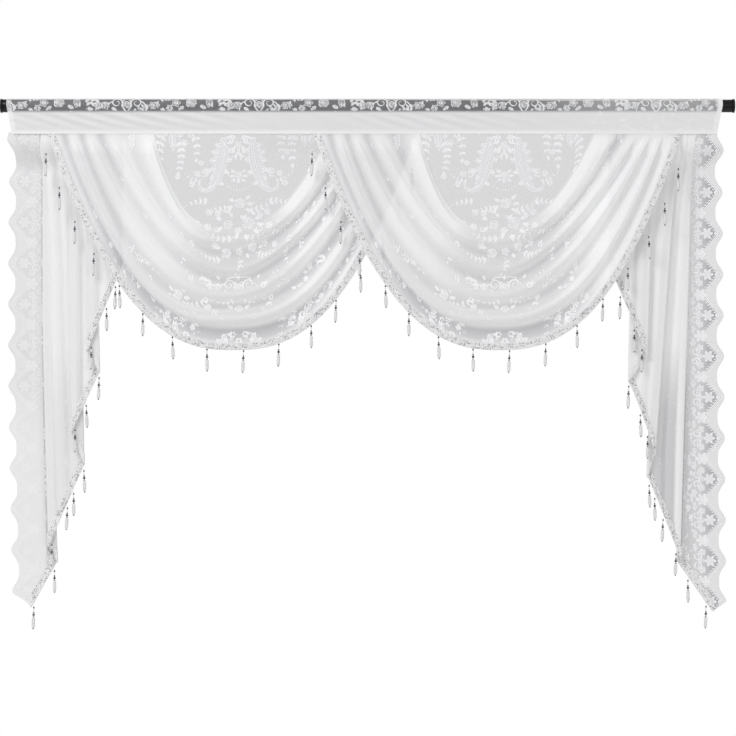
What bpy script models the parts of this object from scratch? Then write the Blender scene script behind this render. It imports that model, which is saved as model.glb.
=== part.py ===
# A sheer lace swag curtain hanging on a round rod: a rod-pocket heading, two overlapping
# swags, a pleated tail at each side, and a braid with bead drops along each free hem.
# Metres, +Z up, +X to the right. The front faces -Y. The origin is the middle of the rod's axis.

from collections import namedtuple
import math

import bmesh
import bpy
from mathutils import Vector

# Rod
ROD_DIAMETER = 0.028
ROD_LENGTH = 1.562
ROD_CHAMFER = 0.001
ROD_SIDES = 24
CAP_DIAMETER = 0.030
CAP_LENGTH = 0.005

# Cloth
CLOTH_THICKNESS = 0.0014
CLOTH_GAP = 0.0005

# Heading: a sleeve around the rod, sewn into one flat seam band under it
HEADING_HALF_WIDTH = 0.766
HEADING_CENTRE = -0.0064
HEADING_SLACK = 0.0004
HEADING_BOTTOM = 0.0602
HEADING_BAND_HEIGHT = 0.0072
HEADING_BAND_THICKNESS = 0.0044
HEADING_END_TAPER = 0.0107
HEADING_COLUMNS = 28
HEADING_ARC_STEPS = 8
HEADING_WALL_STEPS = 3

# Rounded floor of the sleeve's hollow: half its gap, and its rise above the band
SleeveFloor = namedtuple("SleeveFloor", "half_gap rise")
HEADING_FLOOR = (
    SleeveFloor(0.0001, 0.0010),
    SleeveFloor(0.0004, 0.0018),
    SleeveFloor(0.0006, 0.0020),
)

# Soft slanting wrinkles of the sleeve: waves in radians a metre, and each one's share of the depth
WRINKLE_DEPTH = 0.0016
WRINKLE_REST = 0.5
WRINKLE_DRIFT_WAVES = 5
Wrinkle = namedtuple("Wrinkle", "waves slant phase drift share")
HEADING_WRINKLES = (
    Wrinkle(46, 1.2, 0.6, 0.0, 0.3),
    Wrinkle(83, 1.6, 0.0, 2.1, 0.2),
)

# Seam line from which the swags and tails hang
SEAM_GAP = 0.0006
SEAM_Z = -(HEADING_BOTTOM + SEAM_GAP)
LAYER_OFFSET = 0.0012

# Swags: sizes are measured from a swag's middle and down from the seam
SWAG_CENTRES = {"swag_left": -0.2904, "swag_right": 0.2788}
SWAG_LANE_DEPTH = 0.016
SWAG_EASE_DROP = 0.045
SWAG_COLUMNS = 26
SWAG_SIDE_SHARE = 0.6
SWAG_TOP_SPREAD = 0.5
SwagFold = namedtuple(
    "SwagFold",
    "left right drop round_left round_right relief_left relief_mid relief_right steps",
)
SWAG_FOLDS = (
    SwagFold(0.150, 0.150, 0.000, 3.00, 3.00, 0.000, 0.000, 0.000, 0),
    SwagFold(0.165, 0.199, 0.196, 3.20, 2.20, 0.005, 0.005, 0.000, 5),
    SwagFold(0.176, 0.238, 0.225, 3.00, 2.20, 0.012, 0.009, 0.013, 2),
    SwagFold(0.222, 0.268, 0.256, 2.30, 1.90, 0.005, 0.006, 0.001, 2),
    SwagFold(0.259, 0.294, 0.288, 1.90, 1.80, 0.013, 0.010, 0.014, 2),
    SwagFold(0.284, 0.310, 0.314, 2.00, 1.80, 0.004, 0.006, 0.002, 2),
    SwagFold(0.306, 0.325, 0.342, 2.20, 1.90, 0.014, 0.011, 0.015, 2),
    SwagFold(0.324, 0.338, 0.370, 2.50, 2.20, 0.006, 0.007, 0.003, 2),
    SwagFold(0.341, 0.350, 0.393, 2.80, 2.50, 0.014, 0.011, 0.015, 2),
    SwagFold(0.361, 0.364, 0.424, 2.40, 2.50, 0.001, 0.002, 0.003, 2),
    SwagFold(0.394, 0.394, 0.463, 2.42, 2.55, 0.010, 0.010, 0.010, 2),
)

# The left swag passes behind the right one between these places, from its own middle
CROSSOVER_START = -0.05
CROSSOVER_END = 0.15

# Tails: "inward" is measured from the outer edge towards the middle, "fall" down from the seam
TAIL_TURN_RADIUS = 0.003
TAIL_OPEN_FALL = 0.10
TAIL_RETURN_FALL = 0.30
TAIL_RETURN_LEAST = 0.001
TAIL_FRONT_SET = 0.002
TAIL_TOP_FALL = 0.14
TAIL_TOP_ROWS = 5
TAIL_LOWER_ROWS = 5
TAIL_ROW_POWER = 1.4
TAIL_FACE_STEPS = 3
TAIL_ARC_STEPS = 4
TAIL_RIPPLE = 0.0012
TAIL_RIPPLE_WAVES = 7
TAIL_RIPPLE_TURN = 2.3
TAIL_CORNER_COLUMNS = 3
TAIL_CORNER_STEP = 0.001
TAIL_SPINE_INWARD = 0.006
TailPleat = namedtuple("TailPleat", "fold_top fold_hem overlap hem_inner hem_fold")
Tail = namedtuple("Tail", "side outer_top outer_hem outer_bow inner pleats tip_inward outer_fall")
TAILS = {
    "tail_left": Tail(
        -1, 0.7565, 0.7500, 0.006, 0.2336,
        (
            TailPleat(0.1490, 0.1575, 0.0260, 0.282, 0.462),
            TailPleat(0.1147, 0.1210, 0.0260, 0.514, 0.636),
            TailPleat(0.0568, 0.0643, 0.0190, 0.713, 0.884),
            TailPleat(0.0000, 0.0000, 0.0000, 0.921, 1.018),
        ),
        0.0246, 0.988,
    ),
    "tail_right": Tail(
        1, 0.7490, 0.7590, 0.000, 0.2336,
        (
            TailPleat(0.1330, 0.1520, 0.0410, 0.283, 0.476),
            TailPleat(0.0793, 0.1360, 0.0180, 0.534, 0.684),
            TailPleat(0.0480, 0.0820, 0.0090, 0.738, 0.913),
            TailPleat(0.0000, 0.0000, 0.0000, 0.920, 1.026),
        ),
        0.0160, 1.004,
    ),
}

# Scalloped outer edge of the tails
SCALLOP_PITCH = 0.0883
SCALLOP_DEPTH = 0.0155
SCALLOP_FIRST = {"tail_left": 0.0986, "tail_right": 0.0343}
SCALLOP_SHARPNESS = 1.8
SCALLOP_STEPS = 4

# Braid and its bead drops
BRAID_WIDTH = 0.015
BRAID_FALL = 0.032
BRAID_THICKNESS = 0.0024
BRAID_SEAM_TURN = 0.03
BRAID_LEVEL_LEAST = 0.5
HEM_SAMPLES = 400
HEM_DIRECTION_STEP = 0.002
TAIL_BRAID_GAP = 0.0012
TAIL_TURN_GAP = 0.0050
DROP_SIDES = 4
DROP_ROOT = 0.003
DROP_LIFT = 0.0003
DROP_PITCH = 0.0789
DROP_FIRST = 0.046
DROPS_PER_SWAG = 16
DROP_SIDE_THROW = 0.018
DROP_STEEP_START = 0.80
DROP_STEEP_RANGE = 0.12
TAIL_DROP_THROW = 0.004
DropRing = namedtuple("DropRing", "down radius")
DROP_RINGS = (
    DropRing(0.013, 0.0010),
    DropRing(0.0205, 0.0040),
    DropRing(0.027, 0.0012),
    DropRing(0.031, 0.0033),
    DropRing(0.046, 0.0033),
)
DROP_THROW_DOWN = 0.013
DROP_LENGTH = 0.051
TailDrop = namedtuple("TailDrop", "pleat share")
TAIL_DROPS = {
    "tail_left": (
        TailDrop(0, 0.24), TailDrop(0, 0.50), TailDrop(0, 0.96),
        TailDrop(1, 0.05), TailDrop(1, 0.54), TailDrop(1, 0.97),
        TailDrop(2, 0.04), TailDrop(2, 0.33), TailDrop(2, 0.51), TailDrop(2, 0.97),
        TailDrop(3, 0.16), TailDrop(3, 0.97),
    ),
    "tail_right": (
        TailDrop(0, 0.33), TailDrop(0, 0.70), TailDrop(0, 0.92),
        TailDrop(1, 0.03), TailDrop(1, 0.44), TailDrop(1, 0.75),
        TailDrop(2, 0.08), TailDrop(2, 0.24), TailDrop(2, 0.50), TailDrop(2, 0.92),
        TailDrop(3, 0.35), TailDrop(3, 0.88),
    ),
}

# Colours, as linear RGB
LACE_WHITE = (0.80, 0.80, 0.81)
BRAID_SILVER = (0.66, 0.65, 0.62)
ROD_BLACK = (0.012, 0.012, 0.013)
CAP_BLACK = (0.018, 0.018, 0.019)


def clear_scene():
    for old in list(bpy.data.objects):
        bpy.data.objects.remove(old)


def smooth(value):
    """A soft step from 0 to 1."""
    value = min(max(value, 0.0), 1.0)
    return value * value * (3 - 2 * value)


def blend(start, end, share):
    return start + (end - start) * share


def make_material(name, colour, roughness, metallic=0.0):
    material = bpy.data.materials.new(name)
    material.use_nodes = True
    shader = material.node_tree.nodes["Principled BSDF"]
    shader.inputs["Base Color"].default_value = (*colour, 1)
    shader.inputs["Roughness"].default_value = roughness
    shader.inputs["Metallic"].default_value = metallic
    return material


def make_object(name, points, faces, material):
    mesh = bpy.data.meshes.new(name)
    mesh.from_pydata([tuple(point) for point in points], [], faces)
    mesh.validate()
    mesh.materials.append(material)
    made = bpy.data.objects.new(name, mesh)
    bpy.context.scene.collection.objects.link(made)
    return made


def face_outwards(mesh):
    shape = bmesh.new()
    shape.from_mesh(mesh)
    bmesh.ops.recalc_face_normals(shape, faces=shape.faces)
    shape.to_mesh(mesh)
    shape.free()


def add_thickness(sheet, thickness):
    solidify = sheet.modifiers.new("thickness", "SOLIDIFY")
    solidify.thickness = thickness
    solidify.offset = 0
    sheet.data.shade_smooth()


def grid_faces(columns, rows):
    """Quads of a grid whose points are stored column after column."""
    return [
        (c * rows + r, c * rows + r + 1, (c + 1) * rows + r + 1, (c + 1) * rows + r)
        for c in range(columns - 1)
        for r in range(rows - 1)
    ]


def build_rod():
    """The round rod, with a small chamfer at each end."""
    radius = ROD_DIAMETER / 2
    shape = bmesh.new()
    bmesh.ops.create_cone(
        shape, cap_ends=True, segments=ROD_SIDES, radius1=radius, radius2=radius, depth=ROD_LENGTH
    )
    end_edges = [
        edge for edge in shape.edges
        if abs(edge.verts[0].co.z - edge.verts[1].co.z) < ROD_CHAMFER
    ]
    bmesh.ops.bevel(shape, geom=end_edges, offset=ROD_CHAMFER, segments=1, affect="EDGES")
    mesh = bpy.data.meshes.new("rod")
    shape.to_mesh(mesh)
    shape.free()
    mesh.materials.append(make_material("rod_black_enamel", ROD_BLACK, 0.25))
    mesh.shade_smooth()
    mesh.set_sharp_from_angle(angle=math.radians(30))
    rod = bpy.data.objects.new("rod", mesh)
    rod.rotation_euler = (0, math.pi / 2, 0)
    bpy.context.scene.collection.objects.link(rod)


def build_rod_cap(name, side):
    """A thin round cap that closes one end of the rod."""
    shape = bmesh.new()
    bmesh.ops.create_cone(
        shape, cap_ends=True, segments=ROD_SIDES,
        radius1=CAP_DIAMETER / 2, radius2=CAP_DIAMETER / 2, depth=CAP_LENGTH,
    )
    mesh = bpy.data.meshes.new(name)
    shape.to_mesh(mesh)
    shape.free()
    mesh.materials.append(make_material(name + "_black_plastic", CAP_BLACK, 0.4))
    cap = bpy.data.objects.new(name, mesh)
    cap.location = (side * (ROD_LENGTH / 2 + CLOTH_GAP + CAP_LENGTH / 2), 0, 0)
    cap.rotation_euler = (0, math.pi / 2, 0)
    bpy.context.scene.collection.objects.link(cap)


def heading_profile():
    """Matching (outer, inner, wrinkle weight) points of the sleeve, from the front of its band, up over
    the rod and down to the back of the band."""
    inner_radius = ROD_DIAMETER / 2 + HEADING_SLACK
    outer_radius = inner_radius + CLOTH_THICKNESS
    band_top = -(HEADING_BOTTOM - HEADING_BAND_HEIGHT)
    half_band = HEADING_BAND_THICKNESS / 2
    floor = [Vector((-level.half_gap, band_top + level.rise)) for level in HEADING_FLOOR]
    tangent = math.asin(inner_radius / -band_top)
    shoulder = Vector((-math.cos(tangent), -math.sin(tangent)))
    front = [
        (Vector((-half_band, -HEADING_BOTTOM)), floor[0], 0.0),
        (Vector((-half_band, band_top)), floor[1], 0.0),
    ]
    for step in range(1, HEADING_WALL_STEPS):
        share = step / HEADING_WALL_STEPS
        outer = Vector((-half_band, band_top)).lerp(outer_radius * shoulder, share)
        inner = floor[2].lerp(inner_radius * shoulder, share)
        front.append((outer, inner, math.sin(math.pi * share)))
    points = list(front)
    sweep = math.pi + 2 * tangent
    for step in range(HEADING_ARC_STEPS + 1):
        angle = math.pi + tangent - sweep * step / HEADING_ARC_STEPS
        ray = Vector((math.cos(angle), math.sin(angle)))
        points.append((outer_radius * ray, inner_radius * ray, 0.0))
    for outer, inner, weight in reversed(front):
        points.append((Vector((-outer.x, outer.y)), Vector((-inner.x, inner.y)), weight))
    return points


def heading_wrinkle(across, height):
    """How far the wrinkles stand out from the sleeve's wall at one place."""
    rise = WRINKLE_REST
    for wrinkle in HEADING_WRINKLES:
        phase = wrinkle.phase + wrinkle.drift * math.sin(WRINKLE_DRIFT_WAVES * across)
        rise += wrinkle.share * math.sin(wrinkle.waves * (across + wrinkle.slant * height) + phase)
    return WRINKLE_DEPTH * rise


def build_heading():
    material = make_material("heading_lace", LACE_WHITE, 0.8)
    profile = heading_profile()
    count = len(profile)
    points = []
    for column in range(HEADING_COLUMNS + 1):
        share = 2 * column / HEADING_COLUMNS - 1
        for ring in (0, 1):
            for outer, inner, weight in profile:
                y, z = (outer, inner)[ring]
                taper = HEADING_END_TAPER * max(-z / HEADING_BOTTOM, 0)
                x = HEADING_CENTRE + share * (HEADING_HALF_WIDTH - taper)
                away = -1 if outer.x < 0 else 1
                points.append((x, y + away * weight * heading_wrinkle(x, z), z))
    faces = []
    stride = 2 * count
    for column in range(HEADING_COLUMNS):
        for k in range(count):
            near = column * stride + k
            after = column * stride + (k + 1) % count
            faces.append((near, near + stride, after + stride, after))
            faces.append((near + count, after + count, after + stride + count, near + stride + count))
    last = HEADING_COLUMNS * stride
    for k in range(count):
        after = (k + 1) % count
        faces.append((k, after, after + count, k + count))
        faces.append((last + k, last + k + count, last + after + count, last + after))
    heading = make_object("heading", points, faces, material)
    face_outwards(heading.data)
    heading.data.shade_smooth()


def swag_row(level):
    """The swag's values at a level, which counts the rows of SWAG_FOLDS from 0."""
    index = min(int(level), len(SWAG_FOLDS) - 2)
    share = level - index
    upper = SWAG_FOLDS[index]
    lower = SWAG_FOLDS[index + 1]
    eased = smooth(share)
    straight = [blend(a, b, share) for a, b in zip(upper[:5], lower[:5])]
    soft = [blend(a, b, eased) for a, b in zip(upper[5:8], lower[5:8])]
    return SwagFold(*straight, *soft, 0)


def swag_levels():
    """Levels of the grid rows, from the flat top to the hem."""
    levels = [0.0]
    for index, fold in enumerate(SWAG_FOLDS[1:]):
        levels += [index + step / fold.steps for step in range(1, fold.steps + 1)]
    return levels


def swag_across(share, row):
    """Place across the swag, from its middle, closer together near the seam."""
    along = 2 * share - 1
    spread = blend(along, math.sin(math.pi / 2 * along), SWAG_TOP_SPREAD)
    return spread * (row.left if along < 0 else row.right)


def swag_drop(across, row):
    side = row.left if across < 0 else row.right
    power = row.round_left if across < 0 else row.round_right
    return row.drop * (1 - min(abs(across) / side, 1) ** power)


def swag_depth(name, across, drop, row):
    """Y of the cloth: folds stand forward, and the left swag's right part passes behind."""
    side = row.left if across < 0 else row.right
    side_relief = row.relief_left if across < 0 else row.relief_right
    relief = blend(row.relief_mid, side_relief, smooth(abs(across) / side / SWAG_SIDE_SHARE))
    ease = smooth(drop / SWAG_EASE_DROP)
    front = -LAYER_OFFSET - relief * ease
    if name == "swag_right":
        return front
    back = LAYER_OFFSET + (SWAG_LANE_DEPTH - relief) * ease
    behind = smooth((across - CROSSOVER_START) / (CROSSOVER_END - CROSSOVER_START))
    return blend(front, back, behind)


def swag_point(name, share, level):
    row = swag_row(level)
    across = swag_across(share, row)
    drop = swag_drop(across, row)
    return Vector((SWAG_CENTRES[name] + across, swag_depth(name, across, drop, row), SEAM_Z - drop))


def hem_direction(name, share):
    """Unit direction of the hem in the XZ plane, from left to right."""
    hem = len(SWAG_FOLDS) - 1
    before = swag_point(name, max(share - HEM_DIRECTION_STEP, 0), hem)
    after = swag_point(name, min(share + HEM_DIRECTION_STEP, 1), hem)
    run = after - before
    run.y = 0
    return run.normalized()


def hem_point(name, share, inset):
    """A point of the hem, set in from its edge by the given width."""
    edge = swag_point(name, share, len(SWAG_FOLDS) - 1)
    direction = hem_direction(name, share)
    square = Vector((-direction.z, 0, direction.x))
    level_run = 1 / max(abs(direction.z), BRAID_LEVEL_LEAST)
    level_in = Vector((level_run if share < 0.5 else -level_run, 0, 0))
    turn = smooth((SEAM_Z - edge.z) / BRAID_SEAM_TURN)
    return edge + inset * (level_in * (1 - turn) + square * turn)


def cloth_point(name, share, level):
    """A point of the swag's cloth, which ends at the upper edge of the braid."""
    gully = len(SWAG_FOLDS) - 2
    if level <= gully:
        return swag_point(name, share, level)
    edge = hem_point(name, share, BRAID_WIDTH + CLOTH_GAP)
    return swag_point(name, share, gully).lerp(edge, level - gully)


def build_swag(name):
    """One swag of cloth, from the seam to the upper edge of its braid."""
    material = make_material(name + "_lace", LACE_WHITE, 0.8)
    levels = swag_levels()
    points = []
    for column in range(SWAG_COLUMNS + 1):
        points += [cloth_point(name, column / SWAG_COLUMNS, level) for level in levels]
    swag = make_object(name, points, grid_faces(SWAG_COLUMNS + 1, len(levels)), material)
    add_thickness(swag, CLOTH_THICKNESS)


def drop_mesh(anchors):
    """Points and faces of the bead drops, each a four-sided spindle that hangs from its anchor.
    An anchor is a point on the braid's edge, the way into the braid, and the throw to one side."""
    points = []
    faces = []
    for edge, inwards, throw in anchors:
        first = len(points)
        rings = [(edge + inwards * DROP_ROOT, DROP_RINGS[0].radius)]
        for ring in DROP_RINGS:
            aside = throw * min(ring.down / DROP_THROW_DOWN, 1)
            rings.append((edge + Vector((aside, 0, -ring.down)), ring.radius))
        for centre, radius in rings:
            for side in range(DROP_SIDES):
                angle = math.tau * side / DROP_SIDES
                points.append(centre + Vector((radius * math.cos(angle), radius * math.sin(angle), 0)))
        points.append(edge + Vector((throw, 0, -DROP_LENGTH)))
        tip = len(points) - 1
        for ring in range(len(rings) - 1):
            for side in range(DROP_SIDES):
                here = first + ring * DROP_SIDES + side
                beside = first + ring * DROP_SIDES + (side + 1) % DROP_SIDES
                faces.append((here, here + DROP_SIDES, beside + DROP_SIDES, beside))
        last = first + (len(rings) - 1) * DROP_SIDES
        for side in range(DROP_SIDES):
            faces.append((last + side, tip, last + (side + 1) % DROP_SIDES))
        faces.append(tuple(first + side for side in range(DROP_SIDES)))
    return points, faces


def join_drops(braid, anchors, material):
    """Fuses the drops' roots into the braid."""
    points, faces = drop_mesh(anchors)
    drops = make_object(braid.name + "_drops", points, faces, material)
    face_outwards(drops.data)
    drops.hide_render = True
    drops.display_type = "WIRE"
    union = braid.modifiers.new("drops", "BOOLEAN")
    union.operation = "UNION"
    union.object = drops


def swag_drop_anchors(name):
    """Evenly spaced places along the hem, with the throw of the drops that hang beside a steep edge."""
    hem = len(SWAG_FOLDS) - 1
    places = [swag_point(name, step / HEM_SAMPLES, hem) for step in range(HEM_SAMPLES + 1)]
    travelled = 0
    anchors = []
    for step in range(HEM_SAMPLES):
        travelled += (places[step + 1] - places[step]).length
        if travelled < DROP_FIRST + DROP_PITCH * len(anchors) or len(anchors) == DROPS_PER_SWAG:
            continue
        share = step / HEM_SAMPLES
        direction = hem_direction(name, share)
        steepness = smooth((abs(direction.z) - DROP_STEEP_START) / DROP_STEEP_RANGE)
        throw = math.copysign(DROP_SIDE_THROW * steepness, direction.z)
        edge = places[step]
        inwards = (hem_point(name, share, BRAID_WIDTH) - edge).normalized()
        anchors.append((edge + Vector((0, 0, DROP_LIFT)), inwards, throw))
    return anchors


def build_swag_braid(name):
    """The braid along a swag's hem, with its drops."""
    material = make_material(name + "_beaded_braid", BRAID_SILVER, 0.5)
    points = []
    for column in range(SWAG_COLUMNS + 1):
        share = column / SWAG_COLUMNS
        points.append(hem_point(name, share, BRAID_WIDTH))
        points.append(hem_point(name, share, 0))
    braid = make_object(name + "_braid", points, grid_faces(SWAG_COLUMNS + 1, 2), material)
    add_thickness(braid, BRAID_THICKNESS)
    join_drops(braid, swag_drop_anchors(name), material)


def tail_section(name, fall):
    """(inward, depth) of every column of a tail, from its inner edge to its outer one, at one height.
    Each pleat turns back through an arc, runs inwards behind itself and turns out again."""
    tail = TAILS[name]
    turn = math.pi * smooth(fall / TAIL_OPEN_FALL)
    radius = TAIL_TURN_RADIUS
    inward = tail.inner
    depth = LAYER_OFFSET + TAIL_FRONT_SET * smooth(fall / TAIL_OPEN_FALL)
    section = []
    for index, pleat in enumerate(tail.pleats[:-1]):
        fold = blend(pleat.fold_top, pleat.fold_hem, min(fall / pleat.hem_fold, 1))
        target = fold + radius * math.sin(min(turn, math.pi / 2))
        for step in range(TAIL_FACE_STEPS + 1):
            share = step / TAIL_FACE_STEPS
            wave = math.sin(TAIL_RIPPLE_TURN * index + TAIL_RIPPLE_WAVES * fall)
            ripple = TAIL_RIPPLE * wave * math.sin(math.pi * share) ** 2 * smooth(fall / TAIL_OPEN_FALL)
            section.append((blend(inward, target, share), depth + ripple))
        back = (pleat.overlap - 2 * radius) * smooth(fall / TAIL_RETURN_FALL) + TAIL_RETURN_LEAST
        for step in range(1, TAIL_ARC_STEPS + 1):
            angle = turn * step / TAIL_ARC_STEPS
            section.append((target - radius * math.sin(angle), depth + radius * (1 - math.cos(angle))))
        inward = target - 2 * radius * math.sin(turn) - back * math.cos(turn)
        depth += 2 * radius * (1 - math.cos(turn)) + back * math.sin(turn)
        for step in range(TAIL_ARC_STEPS):
            angle = turn * (1 - step / TAIL_ARC_STEPS)
            section.append((inward + radius * math.sin(angle), depth - radius * (1 - math.cos(angle))))
    corner = [tail.tip_inward + step * TAIL_CORNER_STEP for step in range(TAIL_CORNER_COLUMNS)]
    for step in range(TAIL_FACE_STEPS):
        section.append((blend(inward, corner[-1], step / TAIL_FACE_STEPS), depth))
    return section + [(inward, depth) for inward in reversed(corner)]


def tail_hem(name):
    """Fall of the hem at every column of tail_section."""
    tail = TAILS[name]
    falls = []
    for index, pleat in enumerate(tail.pleats[:-1]):
        for step in range(TAIL_FACE_STEPS + 1):
            falls.append(blend(pleat.hem_inner, pleat.hem_fold, step / TAIL_FACE_STEPS))
        after = tail.pleats[index + 1]
        for step in range(1, 2 * TAIL_ARC_STEPS + 1):
            falls.append(blend(pleat.hem_fold, after.hem_inner, step / (2 * TAIL_ARC_STEPS + 1)))
    last = tail.pleats[-1]
    for step in range(TAIL_FACE_STEPS):
        falls.append(blend(last.hem_inner, last.hem_fold, step / TAIL_FACE_STEPS))
    return falls + [last.hem_fold] * TAIL_CORNER_COLUMNS


def tail_place(name, fall, inward, depth):
    """Point in the shared frame of a place on a tail."""
    tail = TAILS[name]
    outer = blend(tail.outer_top, tail.outer_hem, fall) + tail.outer_bow * math.sin(math.pi * min(fall, 1))
    return Vector((tail.side * (outer - inward), depth, SEAM_Z - fall))


def tail_point(name, column, fall):
    inward, depth = tail_section(name, fall)[column]
    return tail_place(name, fall, inward, depth)


def tail_falls(end):
    """Falls of the rows of one column: close together where the pleats open, then even down to its end."""
    top = [TAIL_TOP_FALL * (row / TAIL_TOP_ROWS) ** TAIL_ROW_POWER for row in range(TAIL_TOP_ROWS)]
    return top + [blend(TAIL_TOP_FALL, end, row / TAIL_LOWER_ROWS) for row in range(TAIL_LOWER_ROWS + 1)]


def scallop(name, fall):
    """How far the outer edge stands out at one height."""
    phase = (fall - SCALLOP_FIRST[name]) / SCALLOP_PITCH
    return SCALLOP_DEPTH * (0.5 + 0.5 * math.cos(math.tau * phase)) ** SCALLOP_SHARPNESS


def scallop_falls(name, end):
    """Falls of the edge's points, with one on each tip and each valley."""
    step = SCALLOP_PITCH / SCALLOP_STEPS
    start = SCALLOP_FIRST[name] % step
    count = int((end - start) / step)
    falls = [0.0] + [start + step * index for index in range(count + 1)]
    if end - falls[-1] > step / 2:
        falls.append(end)
    falls[-1] = end
    return falls


def zip_faces(left, right):
    """Triangles between two runs of (index, height) that start and end side by side."""
    faces = []
    a = 0
    b = 0
    while a < len(left) - 1 or b < len(right) - 1:
        step_left = b == len(right) - 1 or (a < len(left) - 1 and left[a + 1][1] < right[b + 1][1])
        if step_left:
            faces.append((left[a][0], left[a + 1][0], right[b][0]))
            a += 1
        else:
            faces.append((left[a][0], right[b + 1][0], right[b][0]))
            b += 1
    return faces


def build_tail(name):
    """One pleated tail of cloth, from the seam to the upper edge of its braid, with its scalloped edge."""
    material = make_material(name + "_lace", LACE_WHITE, 0.8)
    hem = tail_hem(name)
    braided = len(hem) - 1
    stride = TAIL_FACE_STEPS + 1 + 2 * TAIL_ARC_STEPS
    rows = TAIL_TOP_ROWS + TAIL_LOWER_ROWS + 1
    points = []
    last_column = []
    for column, hem_fall in enumerate(hem):
        turning = column > 0 and not 0 < column % stride < TAIL_FACE_STEPS
        gap = TAIL_TURN_GAP if turning else TAIL_BRAID_GAP
        end = hem_fall - BRAID_FALL - gap if column < braided else hem_fall
        for fall in tail_falls(end):
            if column == len(hem) - 1:
                last_column.append((len(points), fall))
            points.append(tail_point(name, column, fall))
    faces = grid_faces(len(hem), rows)
    spine = []
    for fall in scallop_falls(name, TAILS[name].outer_fall):
        depth = tail_section(name, fall)[-1][1]
        spine.append((len(points), fall))
        points.append(tail_place(name, fall, TAIL_SPINE_INWARD, depth))
        points.append(tail_place(name, fall, -scallop(name, fall), depth))
    faces += zip_faces(last_column, spine)
    faces += [(a[0], b[0], b[0] + 1, a[0] + 1) for a, b in zip(spine, spine[1:])]
    tail = make_object(name, points, faces, material)
    add_thickness(tail, CLOTH_THICKNESS)


def build_tail_braid(name):
    """The braid along a tail's stepped hem, with its drops."""
    material = make_material(name + "_beaded_braid", BRAID_SILVER, 0.5)
    hem = tail_hem(name)[:1 - TAIL_CORNER_COLUMNS]
    points = []
    for column, hem_fall in enumerate(hem):
        points.append(tail_point(name, column, hem_fall - BRAID_FALL))
        points.append(tail_point(name, column, hem_fall))
    braid = make_object(name + "_braid", points, grid_faces(len(hem), 2), material)
    add_thickness(braid, BRAID_THICKNESS)
    anchors = []
    for drop in TAIL_DROPS[name]:
        place = drop.pleat * (TAIL_FACE_STEPS + 1 + 2 * TAIL_ARC_STEPS) + drop.share * TAIL_FACE_STEPS
        column = int(place)
        edge = points[2 * column + 1].lerp(points[2 * column + 3], place - column)
        anchors.append((edge, Vector((0, 0, 1)), -TAILS[name].side * TAIL_DROP_THROW))
    join_drops(braid, anchors, material)


def main():
    clear_scene()
    build_rod()
    for side, end in ((-1, "left"), (1, "right")):
        build_rod_cap("rod_cap_" + end, side)
    build_heading()
    for name in SWAG_CENTRES:
        build_swag(name)
        build_swag_braid(name)
    for name in TAILS:
        build_tail(name)
        build_tail_braid(name)


main()
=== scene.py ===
import math

import bmesh
import bpy
import numpy as np
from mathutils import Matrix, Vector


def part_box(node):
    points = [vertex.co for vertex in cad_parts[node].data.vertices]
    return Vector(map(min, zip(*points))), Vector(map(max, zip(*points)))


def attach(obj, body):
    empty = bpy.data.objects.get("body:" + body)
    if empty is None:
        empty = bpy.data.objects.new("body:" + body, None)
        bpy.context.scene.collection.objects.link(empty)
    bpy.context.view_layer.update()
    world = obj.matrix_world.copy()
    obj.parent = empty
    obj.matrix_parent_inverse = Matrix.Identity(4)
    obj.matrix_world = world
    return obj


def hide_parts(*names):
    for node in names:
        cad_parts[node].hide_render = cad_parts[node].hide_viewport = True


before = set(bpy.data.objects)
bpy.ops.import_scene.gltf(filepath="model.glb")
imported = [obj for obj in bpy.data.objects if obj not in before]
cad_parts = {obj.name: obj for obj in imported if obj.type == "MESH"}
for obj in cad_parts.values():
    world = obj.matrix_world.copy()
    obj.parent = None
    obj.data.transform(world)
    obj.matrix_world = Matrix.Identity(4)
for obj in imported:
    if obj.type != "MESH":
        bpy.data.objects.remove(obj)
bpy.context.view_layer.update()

# A sheer lace swag curtain on a black rod. Metres, +Z up, the front faces -Y, the origin is the rod's middle.


def smoothStep(value):
    value = np.clip(value, 0, 1)
    return value * value * (3 - 2 * value)


def rise(value, start, end):  # smoothly from 0 at the start to 1 at the end
    return smoothStep((value - start) / (end - start))


def mix(start, end, share):
    return start + (end - start) * share


def linearColour(code):  # sRGB hex to linear light
    parts = [int(code[place:place + 2], 16) / 255 for place in (1, 3, 5)]
    return tuple(part / 12.92 if part <= 0.04045 else ((part + 0.055) / 1.055) ** 2.4 for part in parts) + (1,)


# Nodes: sockets are linked and plain values are set
def feed(tree, node, inputs):
    for name, value in inputs.items():
        if isinstance(value, bpy.types.NodeSocket):
            tree.links.new(value, node.inputs[name])
        else:
            node.inputs[name].default_value = value


def addNode(tree, kind, inputs=None, **settings):
    node = tree.nodes.new(kind)
    for name, value in settings.items():
        setattr(node, name, value)
    feed(tree, node, inputs or {})
    return node


def outOf(tree, kind, inputs=None, **settings):  # a new node's first output
    return addNode(tree, kind, inputs, **settings).outputs[0]


def calc(tree, operation, *values, clamp=False):
    return outOf(tree, "ShaderNodeMath", dict(enumerate(values)), operation=operation, use_clamp=clamp)


def ranged(tree, value, *limits, **settings):  # from least, from most, to least, to most
    names = ("From Min", "From Max", "To Min", "To Max")
    return outOf(tree, "ShaderNodeMapRange", {"Value": value, **dict(zip(names, limits))}, **settings)


def blend(tree, share, *colours):  # two colours, as sockets, hex codes or numbers
    first, second = (linearColour(colour) if isinstance(colour, str) else colour for colour in colours)
    return addNode(tree, "ShaderNodeMix", {0: share, 6: first, 7: second}, data_type="RGBA").outputs[2]


def fields(tree, *names):  # the mesh's own values
    return [addNode(tree, "ShaderNodeAttribute", attribute_name=name).outputs["Fac"] for name in names]


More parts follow.
